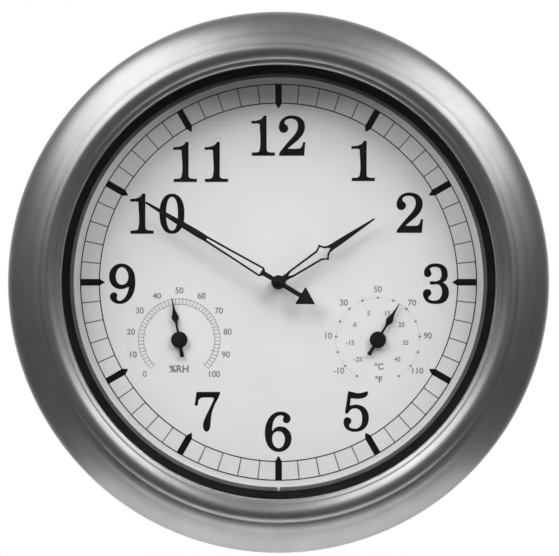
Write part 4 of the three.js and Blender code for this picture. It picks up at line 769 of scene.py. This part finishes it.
def spacer_meshes(x):
    bottom, top = HANGER_SCREW_HEIGHT - SPACER_HALF, HANGER_SCREW_HEIGHT + SPACER_HALF
    return [block(x - SPACER_HALF, x + SPACER_HALF, bottom, top, SPACER_BACK, SPACER_FRONT, SPACER_EDGE)]


def screw_meshes(centre, radius, back, front, shank_radius, shank_front):
    middle = (back + front) / 2
    meshes = [disc(radius, middle, front, centre, SMALL_SIDES, EDGE / 2)]
    meshes.append(disc(shank_radius, front - SCREW_EMBED, shank_front, centre, SMALL_SIDES, EDGE))
    gap = math.asin(SLOT_WIDTH / 2 / radius)
    for side in (0, HALF_TURN):
        half = arc(radius, centre, side + gap, HALF_TURN - 2 * gap, SMALL_SIDES)
        meshes.append(plate([half], back, middle + SCREW_EMBED / 2, EDGE / 2))
    return meshes


def hanger_meshes():
    sheet = rounded([
        (-HANGER_HALF, HANGER_BOTTOM), (HANGER_HALF, HANGER_BOTTOM), (HANGER_HALF, HANGER_TOP),
        (-HANGER_HALF, HANGER_TOP),
    ], HANGER_ROUNDING)
    start = math.asin(SLOT_HALF / KEY_RADIUS)
    keyhole = arc(KEY_RADIUS, (0, KEY_HEIGHT), QUARTER + start, TURN - 2 * start, ROUND_SIDES)
    keyhole += arc(SLOT_HALF, (0, SLOT_TOP), 0, HALF_TURN, SMALL_SIDES)
    hole = HANGER_SHANK_RADIUS + HANGER_HOLE_ROOM
    holes = [circle(hole, (side * HANGER_SCREW_ASIDE, HANGER_SCREW_HEIGHT)) for side in (-1, 1)]
    return [plate([sheet, keyhole, *holes], HANGER_BACK, HANGER_FRONT, HANGER_EDGE)]


# A form turned about a line that lies along x, at the battery's height and depth.
def turned_along_x(outline):
    mesh = turned(outline, (0, 0), ROUND_SIDES)
    axis = Vector(point(0, -BATTERY_DROP, BATTERY_DEPTH))
    mesh.transform(Matrix.Translation(-Vector(point(0, 0, 0))))
    lay = Matrix(((0, -1, 0), (1, 0, 0), (0, 0, 1))).to_4x4()
    mesh.transform(Matrix.Translation(axis) @ lay)
    return mesh


def battery_sleeve_meshes():
    sleeve = [(radius, along - BATTERY_HALF) for radius, along in WRAP_NEGATIVE]
    sleeve += [(radius, along + BATTERY_HALF) for radius, along in WRAP_POSITIVE]
    return [turned_along_x(sleeve)]


def battery_cap_meshes():
    return [turned_along_x([(radius, along + BATTERY_HALF) for radius, along in CAP_POSITIVE])]


# A round wire along a path of points, with both in metres.
def wire(path, radius):
    points = []
    for index, here in enumerate(path):
        ahead = path[min(index + 1, len(path) - 1)] - path[max(index - 1, 0)]
        ahead.normalize()
        side = side - ahead * side.dot(ahead) if index else ahead.orthogonal()
        side.normalize()
        other = ahead.cross(side)
        for across, up in circle(radius, sides=WIRE_SIDES):
            points.append(tuple(here + side * across + other * up))
    faces = []
    for row in range(0, (len(path) - 1) * WIRE_SIDES, WIRE_SIDES):
        for corner in range(WIRE_SIDES):
            here, following = row + corner, row + (corner + 1) % WIRE_SIDES
            faces.append([here, following, following + WIRE_SIDES, here + WIRE_SIDES])
    faces.append(list(range(WIRE_SIDES)))
    faces.append(list(range(len(points) - WIRE_SIDES, len(points))))
    return mesh_of(points, faces)


def spring_contact_meshes():
    plate_back, plate_front = BATTERY_DEPTH - CONTACT_HALF, BATTERY_DEPTH + CONTACT_HALF
    leaf = block(
        CONTACT_LEFT, CONTACT_RIGHT, -BATTERY_DROP - CONTACT_HALF, -BATTERY_DROP + CONTACT_HALF,
        plate_back, plate_front, CONTACT_EDGE,
    )
    path = []
    steps = SPRING_TURNS * SPRING_STEPS
    for step in range(steps + 1):
        share = step / steps
        angle = TURN * SPRING_TURNS * share
        radius = SPRING_RADIUS + (SPRING_TIP_RADIUS - SPRING_RADIUS) * share
        along = SPRING_START + SPRING_WIRE + (SPRING_END - SPRING_START - 2 * SPRING_WIRE) * share
        path.append(Vector(point(
            along, -BATTERY_DROP + radius * math.sin(angle), BATTERY_DEPTH + radius * math.cos(angle),
        )))
    return [leaf, wire(path, SPRING_WIRE * MM)]


def button_meshes(height):
    return [turned(section, (BUTTON_COLUMN, height), SMALL_SIDES) for section in BUTTON_SECTIONS]


def housing_meshes(centre):
    inside, inner = HOUSING_FRONT - HOUSING_WALL, HOUSING_RADIUS - HOUSING_WALL
    cup = [
        (COLLAR_HOLE, HOUSING_FRONT), (HOUSING_FLANGE, HOUSING_FRONT), (HOUSING_FLANGE, inside),
        (HOUSING_RADIUS, inside), (HOUSING_RADIUS, HOUSING_BACK), (inner, HOUSING_BACK), (inner, inside),
        (COLLAR_HOLE, inside),
    ]
    return [turned(rounded(cup, EDGE), centre, HOUSING_SIDES)]


def bridge_meshes(centre):
    x, z = centre
    strip = [
        (x - HOUSING_RADIUS, z - BRIDGE_HALF), (x + HOUSING_RADIUS, z - BRIDGE_HALF),
        (x + HOUSING_RADIUS, z + BRIDGE_HALF), (x - HOUSING_RADIUS, z + BRIDGE_HALF),
    ]
    loops = [rounded(strip, BRIDGE_ROUNDING), circle(BRIDGE_HOLE, centre)]
    return [plate(loops, BRIDGE_BACK, BRIDGE_FRONT, BRIDGE_EDGE)]


def coil_meshes(centre):
    steps = COIL_TURNS * COIL_STEPS
    inner, outer = [], []
    for step in range(steps + 1):
        angle = TURN * COIL_TURNS * step / steps
        radius = COIL_INNER + (COIL_OUTER - COIL_INNER) * step / steps
        for edge, far in ((inner, radius), (outer, radius + COIL_STRIP)):
            edge.append((centre[0] + far * math.cos(angle), centre[1] + far * math.sin(angle)))
    return [plate([inner + outer[::-1]], COIL_BACK, COIL_FRONT)]


# Materials

def new_material(name, base, roughness, metallic=0.0, **sockets):
    material = bpy.data.materials.new(name)
    material.use_nodes = True
    shader = material.node_tree.nodes["Principled BSDF"]
    shader.inputs["Base Color"].default_value = (*base, 1)
    shader.inputs["Roughness"].default_value = roughness
    shader.inputs["Metallic"].default_value = metallic
    for socket, value in sockets.items():
        shader.inputs[socket.replace("_", " ")].default_value = value
    return material


def noise(material, scale, detail, stretch=(1, 1, 1)):
    tree = material.node_tree
    place = tree.nodes.new("ShaderNodeTexCoord")
    mapping = tree.nodes.new("ShaderNodeMapping")
    mapping.inputs["Scale"].default_value = stretch
    texture = tree.nodes.new("ShaderNodeTexNoise")
    texture.inputs["Scale"].default_value = scale
    texture.inputs["Detail"].default_value = detail
    tree.links.new(place.outputs["Object"], mapping.inputs["Vector"])
    tree.links.new(mapping.outputs["Vector"], texture.inputs["Vector"])
    return texture.outputs["Fac"]


def vary_color(material, pattern, dark, light):
    tree = material.node_tree
    ramp = tree.nodes.new("ShaderNodeValToRGB")
    for element, position, color in zip(ramp.color_ramp.elements, TONE_SPAN, (dark, light)):
        element.position = position
        element.color = (*color, 1)
    tree.links.new(pattern, ramp.inputs["Fac"])
    tree.links.new(ramp.outputs["Color"], tree.nodes["Principled BSDF"].inputs["Base Color"])


def map_range(tree, pattern, span, result):
    node = tree.nodes.new("ShaderNodeMapRange")
    for socket, value in zip(("From Min", "From Max", "To Min", "To Max"), (*span, *result)):
        node.inputs[socket].default_value = value
    tree.links.new(pattern, node.inputs["Value"])
    return node.outputs["Result"]


def vary_roughness(material, pattern, low, high):
    tree = material.node_tree
    spread = map_range(tree, pattern, ROUGHNESS_SPAN, (low, high))
    tree.links.new(spread, tree.nodes["Principled BSDF"].inputs["Roughness"])


def add_bump(material, pattern, strength, height):
    tree = material.node_tree
    bump = tree.nodes.new("ShaderNodeBump")
    bump.inputs["Strength"].default_value = strength
    bump.inputs["Distance"].default_value = height * MM
    tree.links.new(pattern, bump.inputs["Height"])
    tree.links.new(bump.outputs["Normal"], tree.nodes["Principled BSDF"].inputs["Normal"])


def grey(value):
    return (value, value, value)


# A moulded, painted, sintered or rolled surface: its tone wanders a little, and it has a fine grain.
def surface(
    name, dark, light, roughness, metallic=0.0, grain=2500, depth=0.01, stretch=(1, 1, 1), **sockets,
):
    material = new_material(name, light, roughness[0], metallic, **sockets)
    vary_color(material, noise(material, *TONE_NOISE), dark, light)
    coarse = noise(material, grain / ROUGHNESS_COARSER, ROUGHNESS_DETAIL, stretch)
    vary_roughness(material, coarse, *roughness)
    add_bump(material, noise(material, grain, GRAIN_DETAIL, stretch), GRAIN_STRENGTH, depth)
    return material


# Clear glass, which lets the light of the lamps and of matt surfaces straight through.
def lens_glass():
    material = new_material("lens_glass", grey(1), 0.0, Transmission_Weight=1.0, IOR=LENS_INDEX)
    vary_roughness(material, noise(material, *LENS_NOISE), *LENS_ROUGHNESS)
    tree = material.node_tree
    clear = tree.nodes.new("ShaderNodeBsdfTransparent")
    mix = tree.nodes.new("ShaderNodeMixShader")
    path = tree.nodes.new("ShaderNodeLightPath")
    through = tree.nodes.new("ShaderNodeMath")
    through.operation = "MAXIMUM"
    output = tree.nodes["Material Output"]
    tree.links.new(path.outputs["Is Shadow Ray"], through.inputs[0])
    tree.links.new(path.outputs["Is Diffuse Ray"], through.inputs[1])
    tree.links.new(through.outputs["Value"], mix.inputs["Fac"])
    tree.links.new(tree.nodes["Principled BSDF"].outputs["BSDF"], mix.inputs[1])
    tree.links.new(clear.outputs["BSDF"], mix.inputs[2])
    tree.links.new(mix.outputs["Shader"], output.inputs["Surface"])
    return material


silver = surface("silver_lacquer", grey(0.40), grey(0.44), (0.30, 0.38), 0.9, grain=4200, depth=0.012)
ring_black = surface("ring_black", grey(0.002), grey(0.004), (0.4, 0.55), depth=0.006,
                     Specular_IOR_Level=0.03)
lip_grey = surface("lip_grey", grey(0.10), grey(0.14), (0.35, 0.5), depth=0.008)
dial_white = surface("dial_white", grey(0.85), grey(0.87), (0.5, 0.62), grain=3000, depth=0.004)
ink_black = surface("ink_black", grey(0.002), grey(0.004), (0.4, 0.55), depth=0.004,
                    Specular_IOR_Level=0.1)
ink_grey = surface("ink_grey", grey(0.11), grey(0.15), (0.45, 0.6), depth=0.004)
ink_pale = surface("ink_pale", grey(0.20), grey(0.25), (0.45, 0.6), depth=0.004)
hand_black = surface("hand_black", grey(0.004), grey(0.007), (0.35, 0.5), grain=3000, depth=0.006,
                     Specular_IOR_Level=0.15)
rear_plastic = surface("rear_plastic", grey(0.028), grey(0.036), (0.5, 0.62), grain=2600, depth=0.03)
movement_plastic = surface("movement_plastic", grey(0.018), grey(0.024), (0.4, 0.52), grain=2600,
                           depth=0.02)
rubber = surface("gasket_rubber", grey(0.02), grey(0.03), (0.75, 0.9), depth=0.02)
zinc = surface("zinc_steel", (0.50, 0.51, 0.53), (0.62, 0.62, 0.61), (0.28, 0.42), 1.0, grain=1400)
spring_steel = surface("spring_steel", (0.60, 0.60, 0.59), (0.70, 0.69, 0.67), (0.18, 0.28), 1.0,
                       depth=0.004)
brass = surface("brass", (0.62, 0.45, 0.20), (0.74, 0.56, 0.28), (0.22, 0.34), 1.0, grain=1800, depth=0.006)
nylon = surface("gear_nylon", (0.76, 0.73, 0.66), (0.82, 0.80, 0.74), (0.4, 0.5), depth=0.006)
button_white = surface("button_white", (0.70, 0.69, 0.64), (0.77, 0.76, 0.71), (0.38, 0.5), depth=0.01)
ferrite = surface("ferrite", grey(0.05), grey(0.075), (0.5, 0.7), grain=3200, depth=0.03)
copper = surface("copper_winding", (0.55, 0.22, 0.10), (0.72, 0.34, 0.17), (0.28, 0.4), 1.0, grain=900,
                 depth=0.1, stretch=(12, 1, 1))
board_green = surface("board_green", (0.015, 0.10, 0.045), (0.02, 0.15, 0.065), (0.3, 0.45), grain=900,
                      depth=0.02)
chip_black = surface("chip_black", grey(0.02), grey(0.03), (0.5, 0.6), depth=0.02)
battery_wrap = surface("battery_wrap", (0.03, 0.045, 0.08), (0.04, 0.06, 0.10), (0.22, 0.32), depth=0.004,
                       Coat_Weight=0.4)
glass = lens_glass()

# Front pieces
add_piece("frame", frame_meshes(), silver, "case", ["bezel"])
add_piece("lens_pane", lens_meshes(), glass, "case", ["lens"])
add_piece("ring_slope", ring_slope_meshes(), ring_black, "case", ["dial_ring"])
add_piece("ring_lip", ring_lip_meshes(), lip_grey, "case")
add_piece("print_black", black_print(), ink_black, "case")
add_piece("print_minutes", minute_print(), ink_grey, "case")
add_piece("print_hygrometer", hygrometer_print(), ink_pale, "case")
add_piece("print_thermometer", thermometer_print(), ink_pale, "case")
add_piece("hour_hand_blade", hour_hand_meshes(), hand_black, "hour", ["hour_hand"])
add_piece("minute_hand_blade", minute_hand_meshes(), hand_black, "minute", ["minute_hand"])
hand_cap = dome(NUT_RADIUS, NUT_BACK, NUT_SHOULDER, NUT_FRONT)
add_piece("hand_cap", [hand_cap], hand_black, "minute", ["hand_nut"])

for name, side, reading, coil_finish in (
    ("hygrometer", -1, HYGROMETER_READING, copper), ("thermometer", 1, THERMOMETER_READING, brass),
):
    centre = (side * INSTRUMENT_ASIDE, -INSTRUMENT_DROP)
    add_piece(f"{name}_arrow", pointer_meshes(reading, centre), hand_black, name,
              [f"{name}_pointer"])
    add_piece(f"{name}_cup", housing_meshes(centre), movement_plastic, "case",
              [f"{name}_housing"])
    add_piece(f"{name}_bar", bridge_meshes(centre), zinc, "case", [f"{name}_bridge"])
    add_piece(f"{name}_spiral", coil_meshes(centre), coil_finish, "case",
              [f"{name}_coil"])

# Rear pieces
add_piece("rear_shell", rear_shell_meshes(), rear_plastic, "case",
          ["rear_case", "dial_plate"])
for index, place in enumerate(circle(SCREW_CIRCLE, sides=CASE_SCREWS), start=1):
    meshes = screw_meshes(place, SCREW_RADIUS, SCREW_BACK, SCREW_FRONT, SHANK_RADIUS, SHANK_FRONT)
    add_piece(f"screw_{index}", meshes, zinc, "case", [f"case_screw_{index}"])
for index, side in enumerate((-1, 1), start=1):
    meshes = screw_meshes(
        (side * HANGER_SCREW_ASIDE, HANGER_SCREW_HEIGHT), HANGER_HEAD_RADIUS, HANGER_HEAD_BACK,
        HANGER_HEAD_FRONT, HANGER_SHANK_RADIUS, HANGER_SHANK_FRONT,
    )
    add_piece(f"plate_screw_{index}", meshes, zinc, "case", [f"hanger_screw_{index}"])
    add_piece(f"plate_spacer_{index}", spacer_meshes(side * HANGER_SCREW_ASIDE), rear_plastic, "case",
              [f"hanger_spacer_{index}"])
add_piece("keyhole_plate", hanger_meshes(), zinc, "case", ["hanger_plate"])
add_piece("battery_sleeve", battery_sleeve_meshes(), battery_wrap, "battery", ["battery"])
add_piece("battery_cap", battery_cap_meshes(), spring_steel, "battery")
add_piece("spring_contact", spring_contact_meshes(), spring_steel, "case",
          ["negative_contact"])
for row, name in enumerate(("set_button", "receive_button", "reset_button")):
    meshes = button_meshes((1 - row) * BUTTON_PITCH)
    add_piece(f"{name}_cap", meshes, button_white, name, [name])

# Solids of the model that stay, with their finishes
FINISHES = {
    "lens_gasket": rubber, "dial": dial_white, "bush_nut": brass, "dial_washer": brass,
    "cushion_washer": rubber, "movement_case": movement_plastic, "movement_cover": movement_plastic,
    "movement_bridge": nylon, "hour_wheel": nylon, "motion_wheel": nylon, "minute_arbor": brass,
    "third_wheel": nylon, "motor_rotor": ferrite, "motor_stator": spring_steel, "motor_coil": copper,
    "circuit_board": board_green, "receiver_chip": chip_black, "quartz_crystal": zinc,
    "antenna_rod": ferrite, "antenna_coil": copper, "positive_contact": spring_steel,
    "zone_slider": button_white, "hygrometer_spindle": brass, "thermometer_spindle": brass,
}
for name, finish in FINISHES.items():
    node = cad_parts[name]
    node.data.materials.clear()
    node.data.materials.append(finish)
BEVEL_WIDTHS = {"movement_case": 0.4, "movement_cover": 0.25, "zone_slider": 0.2, "bush_nut": 0.3}
for name, width in BEVEL_WIDTHS.items():
    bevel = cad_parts[name].modifiers.new("edges", "BEVEL")
    bevel.width = width * MM
    bevel.segments = EDGE_STEPS
    bevel.limit_method = "ANGLE"
    bevel.angle_limit = BEVEL_ANGLE

# Floor, light and camera
STAGE_HEIGHT = -1.25
STAGE_CORNERS = [(-1.0, -0.8), (1.0, -0.8), (1.0, 1.6), (-1.0, 1.6)]
floor_mesh = mesh_of([(x, y, STAGE_HEIGHT) for x, y in STAGE_CORNERS], [(0, 1, 2, 3)])
floor = bpy.data.objects.new("floor", floor_mesh)
floor.data.materials.append(surface("floor_pale", grey(0.80), grey(0.82), (0.7, 0.8), depth=0.002))
scene.collection.objects.link(floor)

# Soft lamps: degrees out from the camera's line and clockwise from twelve, width, length along the way out,
# power, and True for glossy surfaces or False for matt ones.
LAMP_DISTANCE = 2.4
LAMPS = {
    "box_upper_left": (55, -37, 1.6, 2.6, 26, True),
    "box_upper_right": (55, 46, 1.2, 2.6, 20, True),
    "rake_upper_left": (73, -37, 2.2, 1.2, 92, False),
    "rake_upper_right": (73, 37, 2.2, 1.2, 83, False),
}
for name, (out, around, width, length, power, mirrored) in LAMPS.items():
    angle_out, reading = math.radians(out), math.radians(around)
    data = bpy.data.lights.new(name, "AREA")
    data.shape = "ELLIPSE"
    data.size = width
    data.size_y = length
    data.energy = power
    lamp = bpy.data.objects.new(name, data)
    scene.collection.objects.link(lamp)
    radial = Vector((math.sin(reading), 0, math.cos(reading)))
    forwards = Vector((0, -1, 0))
    direction = radial * math.sin(angle_out) + forwards * math.cos(angle_out)
    outwards = radial * math.cos(angle_out) - forwards * math.sin(angle_out)
    across = outwards.cross(direction)
    turn = Matrix((across, outwards, direction)).transposed()
    lamp.matrix_world = Matrix.Translation(SHAFT + direction * LAMP_DISTANCE) @ turn.to_4x4()
    lamp.visible_glossy = mirrored
    lamp.visible_diffuse = not mirrored

world = bpy.data.worlds.new("studio")
scene.world = world
world.use_nodes = True
tree = world.node_tree
background = tree.nodes["Background"]
background.inputs["Color"].default_value = (1, 1, 1, 1)
path = tree.nodes.new("ShaderNodeLightPath")
coordinates = tree.nodes.new("ShaderNodeTexCoord")
split = tree.nodes.new("ShaderNodeSeparateXYZ")
tree.links.new(coordinates.outputs["Generated"], split.inputs["Vector"])
# The backdrop behind the clock is white in reflections too. The room in front of it is dim, also for light
# that has left the object and then goes out through the lens.
WHITE_LEVEL, ROOM_LEVEL, BACKDROP_START = 1.0, 0.05, 0.1
behind = map_range(tree, split.outputs["Y"], (BACKDROP_START, 1), (ROOM_LEVEL, WHITE_LEVEL))


def combine(operation, first, second):
    node = tree.nodes.new("ShaderNodeMath")
    node.operation = operation
    tree.links.new(first, node.inputs[0])
    tree.links.new(second, node.inputs[1])
    return node.outputs["Value"]


bounces = combine("ADD", path.outputs["Glossy Depth"], path.outputs["Diffuse Depth"])
straight = combine("GREATER_THAN", path.outputs["Is Transmission Ray"], bounces)
strength = tree.nodes.new("ShaderNodeMix")
strength.data_type = "FLOAT"
strength.inputs["B"].default_value = WHITE_LEVEL
tree.links.new(combine("MAXIMUM", path.outputs["Is Camera Ray"], straight), strength.inputs["Factor"])
tree.links.new(behind, strength.inputs["A"])
tree.links.new(strength.outputs["Result"], background.inputs["Strength"])

CAMERA_LENS = 300.0
CAMERA_SENSOR = 36.0
PICTURE_WIDTH = 470.8
PICTURE_DEPTH = 40.2
CAMERA_ASIDE = 0.8
CAMERA_RISE = 3.6
camera_data = bpy.data.cameras.new("camera")
camera_data.lens = CAMERA_LENS
camera_data.sensor_width = CAMERA_SENSOR
camera = bpy.data.objects.new("camera", camera_data)
away = PICTURE_WIDTH * CAMERA_LENS / CAMERA_SENSOR
camera.location = point(CAMERA_ASIDE, CAMERA_RISE, PICTURE_DEPTH + away)
camera.rotation_euler = (QUARTER, 0, 0)
scene.collection.objects.link(camera)
scene.camera = camera
scene.view_settings.view_transform = "Standard"
